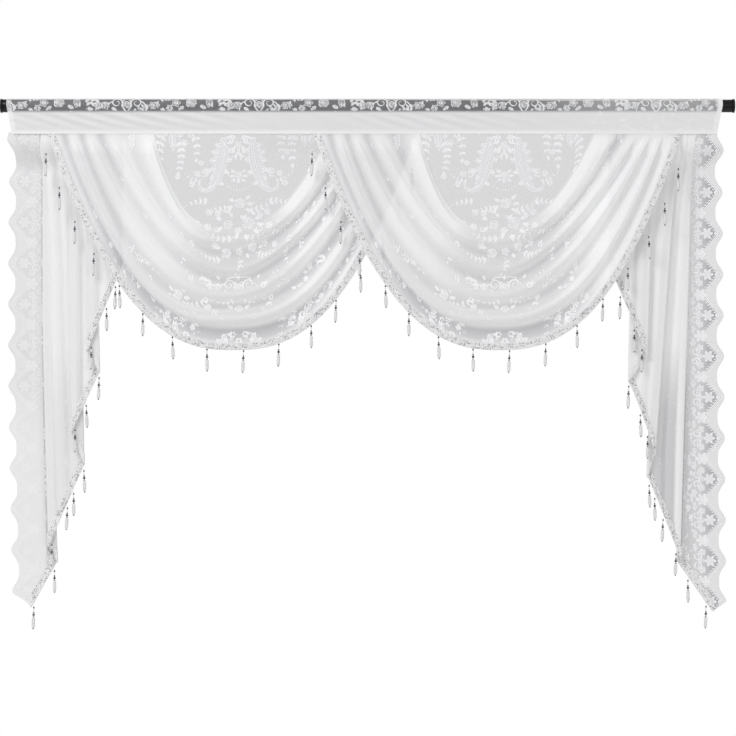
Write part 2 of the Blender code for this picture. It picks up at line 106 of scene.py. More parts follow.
def grain(tree, scale, detail=2.0):
    place = addNode(tree, "ShaderNodeTexCoord").outputs["Object"]
    return outOf(tree, "ShaderNodeTexNoise", {"Vector": place, "Scale": scale, "Detail": detail})


def bumps(tree, height, strength, distance):
    return outOf(tree, "ShaderNodeBump", {"Height": height, "Strength": strength, "Distance": distance})


def newMaterial(name):
    material = bpy.data.materials.new(name)
    material.use_nodes = True
    return material, material.node_tree, material.node_tree.nodes["Principled BSDF"]


def linked(name, data):  # a new object in the scene
    made = bpy.data.objects.new(name, data)
    bpy.context.scene.collection.objects.link(made)
    return made


# Camera, in line with the middle of the picture
view = {"width": 1.5773, "middle": (0.0011, -0.5619), "distance": 6.0, "sensor": 36}
cameraData = bpy.data.cameras.new("camera")
cameraData.sensor_width = view["sensor"]
cameraData.lens = view["sensor"] * view["distance"] / view["width"]
camera = linked("camera", cameraData)
camera.location = (view["middle"][0], -view["distance"], view["middle"][1])
camera.rotation_euler = (math.pi / 2, 0, 0)
bpy.context.scene.camera = camera
bpy.context.scene.view_settings.view_transform = "Standard"
bpy.context.scene.view_settings.look = "None"
print("camera placed")

# Studio: white surroundings, a large soft key from the upper left, a weak fill, and a pale floor
studio = {"floorRadius": 2.9, "floorHeight": -1.78, "floorSides": 96, "floorTone": 0.93, "floorRoughness": 0.9,
          "ambient": 0.46, "belowToAbove": (0.55, 1.25), "sky": 1.0}
lamps = {
    "key": {"place": (-2.6, -3.0, 2.4), "size": 2.2, "power": 105},
    "fill": {"place": (3.0, -3.4, 0.2), "size": 2.4, "power": 30},
    "back": {"place": (0.6, 2.6, 1.2), "size": 2.0, "power": 40},
}


def aimedLamp(name, place, size, power):
    lamp = bpy.data.lights.new(name, "AREA")
    lamp.size = size
    lamp.energy = power
    made = linked(name, lamp)
    made.location = place
    toward = np.array([0, 0, view["middle"][1]]) - np.array(place)
    made.rotation_euler = (math.atan2(np.hypot(toward[0], toward[1]), -toward[2]), 0,
                           math.atan2(toward[0], -toward[1]) + math.pi)


def buildStudio():
    for name, lamp in lamps.items():
        aimedLamp(name, **lamp)
    world = bpy.data.worlds.new("white studio")
    bpy.context.scene.world = world
    world.use_nodes = True
    tree = world.node_tree
    tree.nodes.clear()
    place = addNode(tree, "ShaderNodeTexCoord").outputs["Generated"]
    height = addNode(tree, "ShaderNodeSeparateXYZ", {"Vector": place}).outputs["Z"]
    strength = calc(tree, "MULTIPLY", ranged(tree, height, -1, 1, *studio["belowToAbove"]), studio["ambient"])
    lit, seen = (outOf(tree, "ShaderNodeBackground", {"Color": (1, 1, 1, 1), "Strength": value})
                 for value in (strength, studio["sky"]))
    direct = addNode(tree, "ShaderNodeLightPath").outputs["Is Camera Ray"]
    both = outOf(tree, "ShaderNodeMixShader", {0: direct, 1: lit, 2: seen})
    addNode(tree, "ShaderNodeOutputWorld", {"Surface": both})
    angles = np.linspace(0, math.tau, studio["floorSides"], endpoint=False)
    mesh = bpy.data.meshes.new("floor")
    mesh.from_pydata([(studio["floorRadius"] * math.cos(angle), studio["floorRadius"] * math.sin(angle),
                       studio["floorHeight"]) for angle in angles], [], [tuple(range(len(angles)))])
    material, tree, shader = newMaterial("matt white studio board")
    feed(tree, shader, {"Base Color": (studio["floorTone"],) * 3 + (1,), "Roughness": studio["floorRoughness"]})
    mesh.materials.append(material)
    linked("floor", mesh)


buildStudio()
print("studio lit")

# Lace drawing. Every motif takes points in millimetres and gives how deep they lie inside its threads.
repeat = {"width": 283, "height": 430, "rowDrop": 76, "step": 0.75, "seam": 380}


def leaf(x, y, cx, cy, length, width, degrees):  # pointed oval with an open midrib
    angle = math.radians(degrees)
    along = (x - cx) * math.cos(angle) + (y - cy) * math.sin(angle)
    aside = (y - cy) * math.cos(angle) - (x - cx) * math.sin(angle)
    share = np.clip(along / length, 0, 1)
    half = width / 2 * np.sin(math.pi * share ** 0.85) ** 0.8
    vein = np.where(share < 0.8, np.abs(aside) - 0.35, 9)
    return np.where((along < 0) | (along > length), -3, np.minimum(half - np.abs(aside), vein))


def rose(x, y, cx, cy, radius, petals=5):  # rolled petals round a bud
    away, angle = np.hypot(x - cx, y - cy), np.arctan2(y - cy, x - cx)
    rim = radius * (0.92 + 0.08 * np.cos(petals * angle)) - away
    roll = np.cos(math.tau * (away / (radius * 0.34) + angle / math.tau + 0.12 * np.sin(3 * angle)))
    return np.minimum(rim, 1.8 * (roll + 0.35))


def blossom(x, y, cx, cy, radius, petals=6, degrees=0):  # open flower with round petals and an eye
    away, angle = np.hypot(x - cx, y - cy), np.arctan2(y - cy, x - cx) - math.radians(degrees)
    rim = radius * (0.45 + 0.55 * np.sqrt(np.abs(np.cos(petals * angle / 2)))) - away
    return np.minimum(rim, np.abs(away - radius * 0.24) - 0.7)


def bud(x, y, cx, cy, radius):
    return radius - np.hypot(x - cx, y - cy)


def stroke(x, y, path, startWidth, endWidth):  # tapering stem along a path of points
    best = np.full(x.shape, -9.0)
    steps = len(path) - 1
    for step, ((ax, ay), (bx, by)) in enumerate(zip(path, path[1:])):
        dx, dy = bx - ax, by - ay
        share = np.clip(((x - ax) * dx + (y - ay) * dy) / (dx * dx + dy * dy), 0, 1)
        width = startWidth + (endWidth - startWidth) * (step + share) / steps
        best = np.maximum(best, width / 2 - np.hypot(x - ax - share * dx, y - ay - share * dy))
    return best


def bow(start, middle, end, steps=8):  # a curve from start to end that leans to the middle
    shares = [step / steps for step in range(steps + 1)]
    return [tuple((1 - u) ** 2 * a + 2 * u * (1 - u) * m + u * u * b for a, m, b in zip(start, middle, end))
            for u in shares]


def bend(x, y, start, middle, end, startWidth, endWidth):
    return stroke(x, y, bow(start, middle, end), startWidth, endWidth)


def curl(x, y, cx, cy, radius, startDegrees, turns, startWidth, endWidth, steps=16):  # a spiral that winds in
    path = []
    for share in np.linspace(0, 1, steps + 1):
        angle = math.radians(startDegrees) + math.tau * turns * share
        reach = radius * (1 - 0.75 * share)
        path.append((cx + reach * math.cos(angle), cy + reach * math.sin(angle)))
    return stroke(x, y, path, startWidth, endWidth)


def sprig(x, y, start, middle, end, leafLength, pairs, width=1.5):  # stem with leaves down both sides
    path = bow(start, middle, end)
    found = stroke(x, y, path, width, width * 0.6)
    for pair in range(pairs):
        place = (pair + 0.6) / (pairs + 0.4) * (len(path) - 1)
        step = min(int(place), len(path) - 2)
        (ax, ay), (bx, by) = path[step], path[step + 1]
        root = (mix(ax, bx, place - step), mix(ay, by, place - step))
        heading = math.degrees(math.atan2(by - ay, bx - ax))
        size = leafLength * (1 - 0.35 * pair / pairs)
        for lean in (-48, 44):
            found = np.maximum(found, leaf(x, y, *root, size, size * 0.46, heading + lean))
    lean = math.degrees(math.atan2(path[-1][1] - path[-2][1], path[-1][0] - path[-2][0]))
    return np.maximum(found, leaf(x, y, *path[-1], leafLength * 0.8, leafLength * 0.4, lean))


motifs = {"leaves": leaf, "roses": rose, "blossoms": blossom, "buds": bud, "bends": bend, "curls": curl,
          "sprigs": sprig}


def drawn(x, y, **kinds):  # many motifs of each kind, one tuple of values for each
    return np.maximum.reduce([motifs[kind](x, y, *values) for kind, many in kinds.items() for values in many])


scrollLengths = (((31, 20), (30, 40), (36, 60), 13, 26), ((36, 60), (38, 90), (50, 109), 26, 15),
                 ((50, 109), (60, 129), (77, 124), 15, 8), ((77, 124), (89, 116), (81, 102), 8, 3))
scrollVein = bow((30, 22), (30, 62), (46, 104), 10) + bow((46, 104), (58, 124), (76, 123), 8)[1:]


def medallion(x, y):  # broad scroll leaves under a crown of flowers; x is the distance from the middle
    scroll = np.minimum(drawn(x, y, bends=scrollLengths), -stroke(x, y, scrollVein, 2, 1.5))
    return np.maximum(scroll, drawn(
        x, y,
        leaves=((28, 28, 20, 12, -66), (33, 37, 22, 14, -40), (37, 48, 23, 14, -20), (39, 61, 23, 15, 0),
                (40, 75, 23, 14, 20), (44, 89, 22, 13, 36), (50, 102, 18, 11, 52), (27, 42, 16, 11, 205),
                (27, 60, 15, 11, 190), (33, 84, 15, 10, 165), (43, 106, 15, 9, 150), (0, 34, 14, 7, 90),
                (7, 30, 15, 7, 55), (9, 20, 14, 7, 15), (3, 44, 13, 6, 70), (14, 8, 15, 7, 25),
                (6, 88, 14, 6, -40), (7, 95, 15, 6, -8), (5, 100, 13, 6, 30), (0, 100, 11, 6, 90)),
        roses=((88, 90, 8),),
        blossoms=((0, 27, 9, 5, 90), (13, 12, 8, 6), (12, 40, 5.5, 5), (0, 92, 9, 5, 90), (67, 84, 8, 5, 20),
                  (99, 112, 7, 6)),
        buds=((5, 57, 2.2), (12, 52, 2.0), (3, 124, 1.9), (9.5, 123.1, 1.9), (16, 120.4, 1.9),
              (22.5, 115.9, 1.9)),
        curls=((25, 19, 9, -50, -1.05, 3.2, 1.8), (72, 86, 10, 60, 1.2, 2.6, 1.4)),
        sprigs=(((84, 106), (98, 104), (112, 92), 9, 3),)))


def bouquet(x, y):  # three roses on leafy stems, round the top one
    return drawn(
        x, y,
        leaves=((10, -8, 16, 7, -40), (13, 2, 17, 8, -8), (10, 10, 16, 7, 30), (-12, -4, 15, 7, 205),
                (-13, 6, 16, 7, 168), (30, 34, 16, 8, -20), (34, 44, 17, 8, 12), (28, 56, 16, 7, 44),
                (-38, 36, 16, 7, 200), (-36, 50, 16, 7, 150), (-6, 62, 17, 8, 100), (10, 66, 15, 7, 70),
                (0, 24, 12, 6, 60), (-14, 30, 13, 6, 230), (6, 30, 12, 6, -40)),
        roses=((0, 0, 13), (17, 42, 15), (-25, 46, 11)),
        blossoms=((-4, 58, 8, 5), (42, 26, 7, 6), (-47, 22, 7, 5)),
        sprigs=(((-14, 16), (-34, 8), (-56, 16), 13, 4), ((16, 22), (38, 12), (62, 2), 13, 4)))


def lacePattern(x, y):  # millimetres of flat cloth in, depth inside the threads in millimetres out
    x = (x + repeat["width"] / 2) % repeat["width"] - repeat["width"] / 2
    y = y % repeat["height"]
    side = np.abs(x)
    edge = np.where(x < 0, x + repeat["width"], x) - repeat["width"] / 2  # from halfway between medallions
    low = np.where(y > repeat["seam"], y - repeat["height"], y)  # sprays cross the seam of the repeat
    row = y - repeat["rowDrop"]
    return np.maximum.reduce([
        medallion(side, y),
        bouquet(x - 4, y - 153),
        bouquet(edge - 6, y - 372),
        drawn(edge, low,  # tall sprays between the medallions
              leaves=((-2, -4, 46, 15, 84),),
              roses=((16, 2, 11), (-24, 6, 10), (40, 6, 8)),
              blossoms=((26, 24, 9, 6), (12, 96, 7, 6), (-38, 44, 8, 5), (62, 66, 6, 6)),
              sprigs=(((14, 12), (24, 50), (14, 84), 15, 5), ((-14, -14), (-32, 20), (-26, 70), 17, 5),
                      ((-40, -18), (-56, 12), (-48, 50), 15, 4), ((38, -12), (56, 16), (52, 56), 15, 4))),
        drawn(side, row,  # a pair of curled scrolls with a rose between them
              leaves=((0, 246, 12, 6, -90), (30, 276, 14, 7, 60), (12, 280, 14, 7, 75), (40, 246, 13, 6, -50),
                      (70, 268, 14, 7, 20)),
              roses=((0, 260, 8.5), (62, 262, 9)),
              blossoms=((72, 292, 7, 6),),
              buds=((6, 250, 2), (31, 270, 2.2)),
              bends=(((10, 262), (4, 274), (0, 276), 3.2, 3.2), ((33, 254), (44, 262), (41, 280), 3.0, 1.6),
                     ((26, 243), (14, 236), (0, 240), 2.6, 2.2)),
              curls=((21, 256, 13, 150, 1.35, 3.4, 1.8, 20), (56, 286, 8, 20, 1.1, 2.4, 1.4)),
              sprigs=(((6, 288), (20, 298), (40, 296), 9, 3),)),
        drawn(edge, row,  # the flowers beside the scrolls
              leaves=((36, 240, 28, 14, 96), (34, 244, 24, 9, 70), (14, 246, 16, 8, -40), (14, 262, 17, 8, 24),
                      (-18, 246, 16, 8, 215), (-18, 264, 17, 8, 150), (108, 266, 15, 7, 30)),
              roses=((-3, 256, 13), (96, 262, 10)),
              blossoms=((-36, 256, 10, 5), (-50, 268, 8, 6), (20, 280, 7, 5), (-86, 262, 9, 6)),
              sprigs=(((58, 236), (66, 254), (60, 276), 15, 3), ((78, 240), (70, 256), (82, 274), 13, 3),
                      ((-40, 244), (-56, 240), (-72, 252), 12, 3),
                      ((-92, 272), (-104, 264), (-120, 270), 12, 3))),
        drawn(side, y,  # small filling sprigs
              leaves=((11, 384, 15, 7, -24), (8, 394, 14, 7, 34)),
              roses=((66, 204, 9), (52, 396, 10)),
              blossoms=((62, 172, 8, 6), (88, 196, 7, 5), (34, 404, 8, 6), (82, 410, 8, 5)),
              curls=((46, 208, 8, 200, -1.2, 2.4, 1.4),),
              sprigs=(((60, 150), (84, 146), (106, 156), 12, 4), ((8, 226), (34, 236), (62, 222), 12, 4),
                      ((70, 216), (84, 226), (104, 226), 11, 3), ((70, 374), (62, 388), (72, 404), 12, 4),
                      ((4, 398), (22, 416), (52, 418), 11, 4))),
        drawn(edge, y,
              leaves=((0, 190, 22, 10, 90),),
              roses=((0, 178, 12), (6, 244, 11)),
              blossoms=((0, 144, 9, 6), (-26, 208, 8, 5), (28, 210, 8, 5), (-18, 250, 9, 6), (34, 252, 8, 5)),
              buds=((0, 220, 2.4), (9, 218, 2), (-9, 218, 2)),
              sprigs=(((0, 150), (-22, 164), (-30, 190), 13, 4), ((2, 152), (24, 166), (30, 190), 13, 4),
                      ((14, 256), (24, 276), (10, 298), 13, 4), ((-20, 262), (-34, 276), (-24, 300), 12, 4))),
        drawn(x, y,
              leaves=((42, 252, 16, 8, -20), (-38, 252, 15, 7, 200), (16, 262, 14, 7, 60)),
              roses=((30, 250, 11), (-26, 262, 12), (84, 252, 8), (0, 386, 10)),
              blossoms=((2, 258, 9, 5), (-50, 246, 8, 6), (58, 244, 8, 5)),
              sprigs=(((38, 262), (54, 276), (78, 268), 12, 4), ((-34, 274), (-56, 284), (-78, 270), 12, 4),
                      ((0, 272), (10, 288), (-4, 304), 11, 3))),
    ])


laceSides = [np.arange(0, repeat[side], repeat["step"]) for side in ("width", "height")]
laceGrid = np.clip(lacePattern(*np.meshgrid(*laceSides, indexing="ij")), -4, 4)  # every cloth reads it


def laceAt(across, down):  # metres of flat cloth in, millimetres inside the threads out
    columns, rows = laceGrid.shape
    x = (across * 1000 / repeat["width"] % 1) * columns
    y = (down * 1000 / repeat["height"] % 1) * rows
    column, row = np.floor(x).astype(int), np.floor(y).astype(int)
    here, right = column % columns, (column + 1) % columns
    above, below = row % rows, (row + 1) % rows
    upper = mix(laceGrid[here, above], laceGrid[right, above], x - column)
    lower = mix(laceGrid[here, below], laceGrid[right, below], x - column)
    return mix(upper, lower, y - row)


def faded(threads, gatherAndLight):  # figures thin out where the cloth is gathered
    return threads - 3 * rise(gatherAndLight, 0.5, 0.9)


print("lace drawn", laceGrid.shape)

# Polyester jacquard lace: a fine net that light passes through, with thicker satiny figures. Outlines of the
# figures are the densest thread, their fillings a little thinner, and gathered cloth closes up and whitens. The
# whitening also paints highlights on fold ridges and light on the heading, and the darker net paints shade in
# fold valleys, gullies and along a fold line as well as showing the border's closer weave.
# Slubs run along both directions; real ones are 0.3 mm wide, drawn coarser to show. Sizes are in millimetres.
lace = {
    "net": "#a2a2a6", "denseAndShadedNet": "#7c7c82", "figure": "#f8f8fa", "filling": "#cdcdd1", "gatheredAndLit": "#fafafb",
    "netCover": 0.47, "denseCover": 0.76, "outlineCover": 0.88, "fillCover": 0.60, "gatheredCover": 0.94,
    "edge": (-0.5, 0.45), "fillEdge": (0.8, 1.5), "slubLength": 11, "slubWidth": 1.2, "uneven": 0.5,
    "yarnCover": 0.08, "yarnRaise": 0.35, "raise": 0.5, "figureRaise": 0.0005, "roughness": 0.72, "sheen": 0.12,
}


def laceMaterial(name, border):
    material, tree, shader = newMaterial(name)
    threads, gatherAndLight, closenessAndShade = fields(tree, "threads", "gatherAndLight", "closenessAndShade")
    cloth = outOf(tree, "ShaderNodeUVMap", uv_map="cloth")
    slubs = []
    for longWay in (0, 1):
        scale = [1000 / lace["slubWidth"]] * 3
        scale[longWay] = 1000 / lace["slubLength"]
        place = outOf(tree, "ShaderNodeMapping", {"Vector": cloth, "Scale": scale})
        slubs.append(outOf(tree, "ShaderNodeTexNoise", {"Vector": place, "Scale": 1.0, "Detail": 1.0}))
    weave = calc(tree, "ADD", *slubs)  # about 1 on average
    depth = calc(tree, "ADD", threads, calc(tree, "MULTIPLY_ADD", weave, lace["uneven"], -lace["uneven"]))
    figured, filling = (ranged(tree, depth, *lace[edge], interpolation_type="SMOOTHSTEP")
                        for edge in ("edge", "fillEdge"))
    if border:
        figured = borderNodes(tree, figured)
    # the darker net is the border's closer weave and also painted shade in fold valleys, gullies and along a
    # fold line
    ground = blend(tree, closenessAndShade, lace["net"], lace["denseAndShadedNet"])
    base = blend(tree, figured, ground, blend(tree, filling, lace["figure"], lace["filling"]))
    figureCover = ranged(tree, filling, 0, 1, lace["outlineCover"], lace["fillCover"])
    netCover = ranged(tree, closenessAndShade, 0, 1, lace["netCover"], lace["denseCover"], clamp=False)
    cover = ranged(tree, figured, 0, 1, netCover, figureCover)
    dense = outOf(tree, "ShaderNodeMix", {0: gatherAndLight, 2: cover, 3: lace["gatheredCover"]}, data_type="FLOAT")
    yarn = calc(tree, "MULTIPLY_ADD", weave, lace["yarnCover"], -lace["yarnCover"])
    relief = calc(tree, "MULTIPLY", figured, calc(tree, "SUBTRACT", 1.0, gatherAndLight))
    raised = calc(tree, "MULTIPLY_ADD", weave, lace["yarnRaise"], relief)
    # whitening by gather is gathered cloth and also painted highlight on ridges and painted light on the
    # heading
    feed(tree, shader, {
        "Base Color": blend(tree, gatherAndLight, base, lace["gatheredAndLit"]),
        "Alpha": calc(tree, "ADD", dense, yarn, clamp=True),
        "Normal": bumps(tree, raised, lace["raise"], lace["figureRaise"]), "Roughness": lace["roughness"],
        "Sheen Weight": lace["sheen"]})
    return material


# Scalloped border of the tails. The bands give how white each millimetre is, across two cords; a row of dots
# and a flower at each tip and notch lie inside them.
scallop = {
    "pitch": 0.0883, "depth": 0.0155, "sharpness": 1.8, "firsts": {"tail_left": 0.0986, "tail_right": 0.0343},
    "railTip": -0.0125, "railNotch": 0.0246, "net": 0.055, "netFade": (0.012, -0.003), "pointFade": 0.02,
    "dotPitch": 6.8, "dotMiddle": 8.8, "dotSize": 1.9, "dotEdge": 0.5, "dotLength": (-0.1, 0.3), "bandSpan": 10,
    "bands": ((0.0, 0.0), (0.2, 1.0), (2.2, 1.0), (2.4, 0.0), (3.7, 0.0), (3.9, 1.0), (5.9, 1.0), (6.1, 0.0)),
    "tipFlower": (18.5, 13.0), "notchFlower": (35.0, 14.0), "petals": 6, "petalEdge": (-0.3, 0.6),
    "petalFilling": (2.2, 3.4, 1.0, 0.8), "kept": (0.1, 0.95, 1.0, 0.1),
}
scallop["lean"] = math.hypot(scallop["railNotch"] - scallop["railTip"], scallop["pitch"] / 2)


def flowerNodes(tree, inward, down, middle, radius):  # petals round an eye, in millimetres
    across = calc(tree, "SUBTRACT", inward, middle)
    spot = outOf(tree, "ShaderNodeCombineXYZ", {"X": across, "Y": down})
    reach = addNode(tree, "ShaderNodeVectorMath", {0: spot}, operation="LENGTH").outputs["Value"]
    turn = calc(tree, "MULTIPLY", calc(tree, "ARCTAN2", down, across), scallop["petals"] / 2)
    lobe = calc(tree, "ABSOLUTE", calc(tree, "COSINE", turn))
    depth = calc(tree, "SUBTRACT", ranged(tree, lobe, 0, 1, 0.5 * radius, radius), reach)
    petals = calc(tree, "MULTIPLY", ranged(tree, depth, *scallop["petalEdge"]),
                  ranged(tree, depth, *scallop["petalFilling"]))
    return calc(tree, "MAXIMUM", petals, ranged(tree, reach, 0.2 * radius, 0.1 * radius))


def borderNodes(tree, figured):
    rail, run, inward, gatherAndLight = fields(tree, "rail", "run", "inward", "gatherAndLight")
    share = calc(tree, "MULTIPLY", rail, 1 / scallop["bandSpan"], clamp=True)
    ramp = addNode(tree, "ShaderNodeValToRGB", {0: share})
    for place, value in scallop["bands"][1:-1]:
        ramp.color_ramp.elements.new(place / scallop["bandSpan"])
    for element, (place, value) in zip(ramp.color_ramp.elements, scallop["bands"]):
        element.position = place / scallop["bandSpan"]
        element.color = (value, value, value, 1)
    wave = calc(tree, "SINE", calc(tree, "MULTIPLY", run, math.tau / scallop["dotPitch"]))
    off = calc(tree, "ABSOLUTE", calc(tree, "SUBTRACT", rail, scallop["dotMiddle"]))
    dots = calc(tree, "MULTIPLY", ranged(tree, wave, *scallop["dotLength"]),
                ranged(tree, off, scallop["dotSize"], scallop["dotSize"] - scallop["dotEdge"]))
    joined = calc(tree, "MAXIMUM", calc(tree, "MAXIMUM", ramp.outputs["Color"], dots), figured)
    fromTip = calc(tree, "MULTIPLY", run, scallop["pitch"] / 2 / scallop["lean"])
    fromNotch = calc(tree, "SUBTRACT", 500 * scallop["pitch"], fromTip)
    for down, place in ((fromTip, "tipFlower"), (fromNotch, "notchFlower")):
        joined = calc(tree, "MAXIMUM", joined, flowerNodes(tree, inward, down, *scallop[place]))
    return calc(tree, "MULTIPLY", joined, ranged(tree, gatherAndLight, *scallop["kept"]))


# Meshes
def meshPiece(name, points, faces, material, uvs=None, values=None):  # faces all have as many corners
    faces = np.asarray(faces, np.int32)
    mesh = bpy.data.meshes.new(name)
    mesh.vertices.add(len(points))
    mesh.vertices.foreach_set("co", np.asarray(points, np.float32).ravel())
    mesh.loops.add(faces.size)
    mesh.loops.foreach_set("vertex_index", faces.ravel())
    mesh.polygons.add(len(faces))
    mesh.polygons.foreach_set("loop_start", np.arange(0, faces.size, faces.shape[1], dtype=np.int32))
    mesh.update(calc_edges=True)
    if uvs is not None:
        layer = mesh.uv_layers.new(name="cloth")
        layer.data.foreach_set("uv", np.asarray(uvs, np.float32)[faces.ravel()].ravel())
    for field, value in (values or {}).items():
        mesh.attributes.new(field, "FLOAT", "POINT").data.foreach_set("value", value.astype(np.float32).ravel())
    mesh.shade_smooth()
    mesh.materials.append(material)
    return linked(name, mesh)


def clothPiece(name, points, flat, values, material):  # columns run to the right, rows run down
    index = np.arange(points.shape[0] * points.shape[1]).reshape(points.shape[:2])
    quads = np.stack([index[:-1, :-1], index[:-1, 1:], index[1:, 1:], index[1:, :-1]], -1).reshape(-1, 4)
    return meshPiece(name, points.reshape(-1, 3), quads, material, flat.reshape(-1, 2), values)


def steepness(points, full):  # 0 where a grid faces the front, 1 where it has turned away
    normal = np.cross(np.gradient(points, axis=1), np.gradient(points, axis=0))
    length = np.maximum(np.linalg.norm(normal, axis=-1), 1e-12)
    return rise(1 - np.abs(normal[..., 1] / length), 0, full)


def arcs(points, axis):  # length run along an axis of the grid
    steps = np.linalg.norm(np.diff(points, axis=axis), axis=-1)
    return np.insert(np.cumsum(steps, axis=axis), 0, 0, axis=axis)


def tube(name, points, material, uvs=None):  # a closed skin through rings of points
    index = np.arange(points.shape[0] * points.shape[1]).reshape(points.shape[:2])
    after = np.roll(index, -1, axis=1)
    quads = np.stack([index[:-1], index[1:], after[1:], after[:-1]], -1).reshape(-1, 4)
    piece = meshPiece(name, points.reshape(-1, 3), quads, material, uvs)
    shell = bmesh.new()
    shell.from_mesh(piece.data)
    bmesh.ops.holes_fill(shell, edges=[edge for edge in shell.edges if edge.is_boundary])
    bmesh.ops.recalc_face_normals(shell, faces=shell.faces)
    shell.to_mesh(piece.data)
    shell.free()
    return piece


seamGap = 0.0006  # the swags and tails start just under the heading's band
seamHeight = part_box("heading")[0].z - seamGap

# Swags. Fold rows: half widths, drop, roundness and how far each fold stands out at its left, middle and right.
swag = {
    "middles": {"swag_left": -0.2904, "swag_right": 0.2788}, "patternAcross": -0.014,
    "layer": 0.0012, "lane": 0.016, "easeDrop": 0.045, "sideShare": 0.6, "topSpread": 0.5,
    "crossover": (-0.05, 0.15), "columns": 330, "rowsEach": (86, 20), "tuck": 0.004, "tuckFall": 0.01,
    "folds": np.array((
        (0.150, 0.150, 0.000, 3.00, 3.00, 0.000, 0.000, 0.000),
        (0.165, 0.199, 0.196, 3.20, 2.20, 0.005, 0.005, 0.000),
        (0.176, 0.238, 0.225, 3.00, 2.20, 0.012, 0.009, 0.013),
        (0.222, 0.268, 0.256, 2.30, 1.90, 0.005, 0.006, 0.001),
        (0.259, 0.294, 0.288, 1.90, 1.80, 0.013, 0.010, 0.014),
        (0.284, 0.310, 0.314, 2.00, 1.80, 0.004, 0.006, 0.002),
        (0.306, 0.325, 0.342, 2.20, 1.90, 0.014, 0.011, 0.015),
        (0.324, 0.338, 0.370, 2.50, 2.20, 0.006, 0.007, 0.003),
        (0.341, 0.350, 0.393, 2.80, 2.50, 0.014, 0.011, 0.015),
        (0.361, 0.364, 0.424, 2.40, 2.50, 0.001, 0.002, 0.003),
        (0.394, 0.394, 0.463, 2.42, 2.55, 0.010, 0.010, 0.010),
    )),
    "fineFold": 0.0018, "fineWaves": (1.5, 0.8), "steep": 0.35,
}
# How gathered the folds look, with painted highlight on the ridges and painted light in the right swag's outer
# valleys, how close their net looks, with painted shade in the valleys and the gully at the hem, and how far
# the figures fade, in shares. The ranges are in fold rows, but for the sides, which run from -1 to 1 across,
# and the low part, in metres of fall.
swagLook = {
    "rolled": (1, 4), "flank": (0.9, 1.4), "folded": (1.6, 2.2), "left": (0.1, 0.45), "right": (0.2, 0.55),
    "valleyLightFrom": (1.6, 4.0), "softFrom": (3, 7), "low": (0.16, 0.30), "lowFrom": (5.5, 8.5),
    "gully": (8.5, 8.9), "gullyEnd": (9.9, 9.5), "gullySide": (-0.62, -0.37),
    "onFlank": 0.12, "onLeft": 0.54, "onRight": 0.25, "rightRidgeHighlight": 0.40, "ridgeHighlight": 0.26, "soft": 0.32,
    "lowLeft": 0.25, "steep": 0.15, "most": 0.92, "valleyLight": 0.97, "valleyLit": {"swag_left": 0.0, "swag_right": 1.0},
    "valleyShade": 0.26, "rightValleyShade": 0.2, "denseAndShadedNet": 0.25, "softNet": 0.3, "hemShadeLoose": 0.5, "deepFade": 0.7,
}
braid = {"width": 0.015, "fall": 0.032, "returnFall": 0.024, "seamTurn": 0.03,
         "levelLeast": 0.5, "under": 0.0045}


def swagPoints(name, shares, levels, fine=True):
    along, level = np.meshgrid(2 * np.asarray(shares, float) - 1, np.asarray(levels, float), indexing="ij")
    table = swag["folds"]
    index = np.clip(level.astype(int), 0, len(table) - 2)
    share = (level - index)[..., None]
    row = np.concatenate([mix(table[index, :5], table[index + 1, :5], share),
                          mix(table[index, 5:], table[index + 1, 5:], smoothStep(share))], -1)
    left, right, drop, roundLeft, roundRight, reliefLeft, reliefMiddle, reliefRight = np.moveaxis(row, -1, 0)
    spread = mix(along, np.sin(math.pi / 2 * along), swag["topSpread"])
    onLeft = along < 0
    side = np.where(onLeft, left, right)
    across = spread * side
    fall = drop * (1 - np.minimum(np.abs(across) / side, 1) ** np.where(onLeft, roundLeft, roundRight))
    sideways = rise(np.abs(across) / side, 0, swag["sideShare"])
    relief = mix(reliefMiddle, np.where(onLeft, reliefLeft, reliefRight), sideways)
    ease = rise(fall, 0, swag["easeDrop"])
    if fine:  # small creases between the main folds
        waves, drift = swag["fineWaves"]
        wave = 0.5 + 0.5 * np.sin(math.tau * (waves * level + drift * across / side))
        relief = relief + swag["fineFold"] * rise(level, 0.8, 1.8) * rise(level, 10, 9) * wave
    front = -swag["layer"] - relief * ease
    if name == "swag_left":  # its right side crosses behind the other swag
        back = swag["layer"] + (swag["lane"] - relief) * ease
        front = mix(front, back, rise(across, *swag["crossover"]))
    return np.stack([swag["middles"][name] + across, front, seamHeight - fall], -1)


def hemLine(name, shares, inset):  # the hem, set in from its edge by a width
    shares = np.asarray(shares, float)
    before, edge, after = (swagPoints(name, np.clip(shares + step, 0, 1), [len(swag["folds"]) - 1], False)[:, 0]
                           for step in (-0.002, 0, 0.002))
    run = (after - before) * (1, 0, 1)
    run /= np.linalg.norm(run, axis=1, keepdims=True)
    nothing = np.zeros(len(shares))
    square = np.stack([-run[:, 2], nothing, run[:, 0]], -1)
    levelRun = 1 / np.maximum(np.abs(run[:, 2]), braid["levelLeast"])
    levelIn = np.stack([np.where(shares < 0.5, levelRun, -levelRun), nothing, nothing], -1)
    turn = rise(seamHeight - edge[:, 2], 0, braid["seamTurn"])[:, None]
    return edge + inset * mix(levelIn, square, turn)


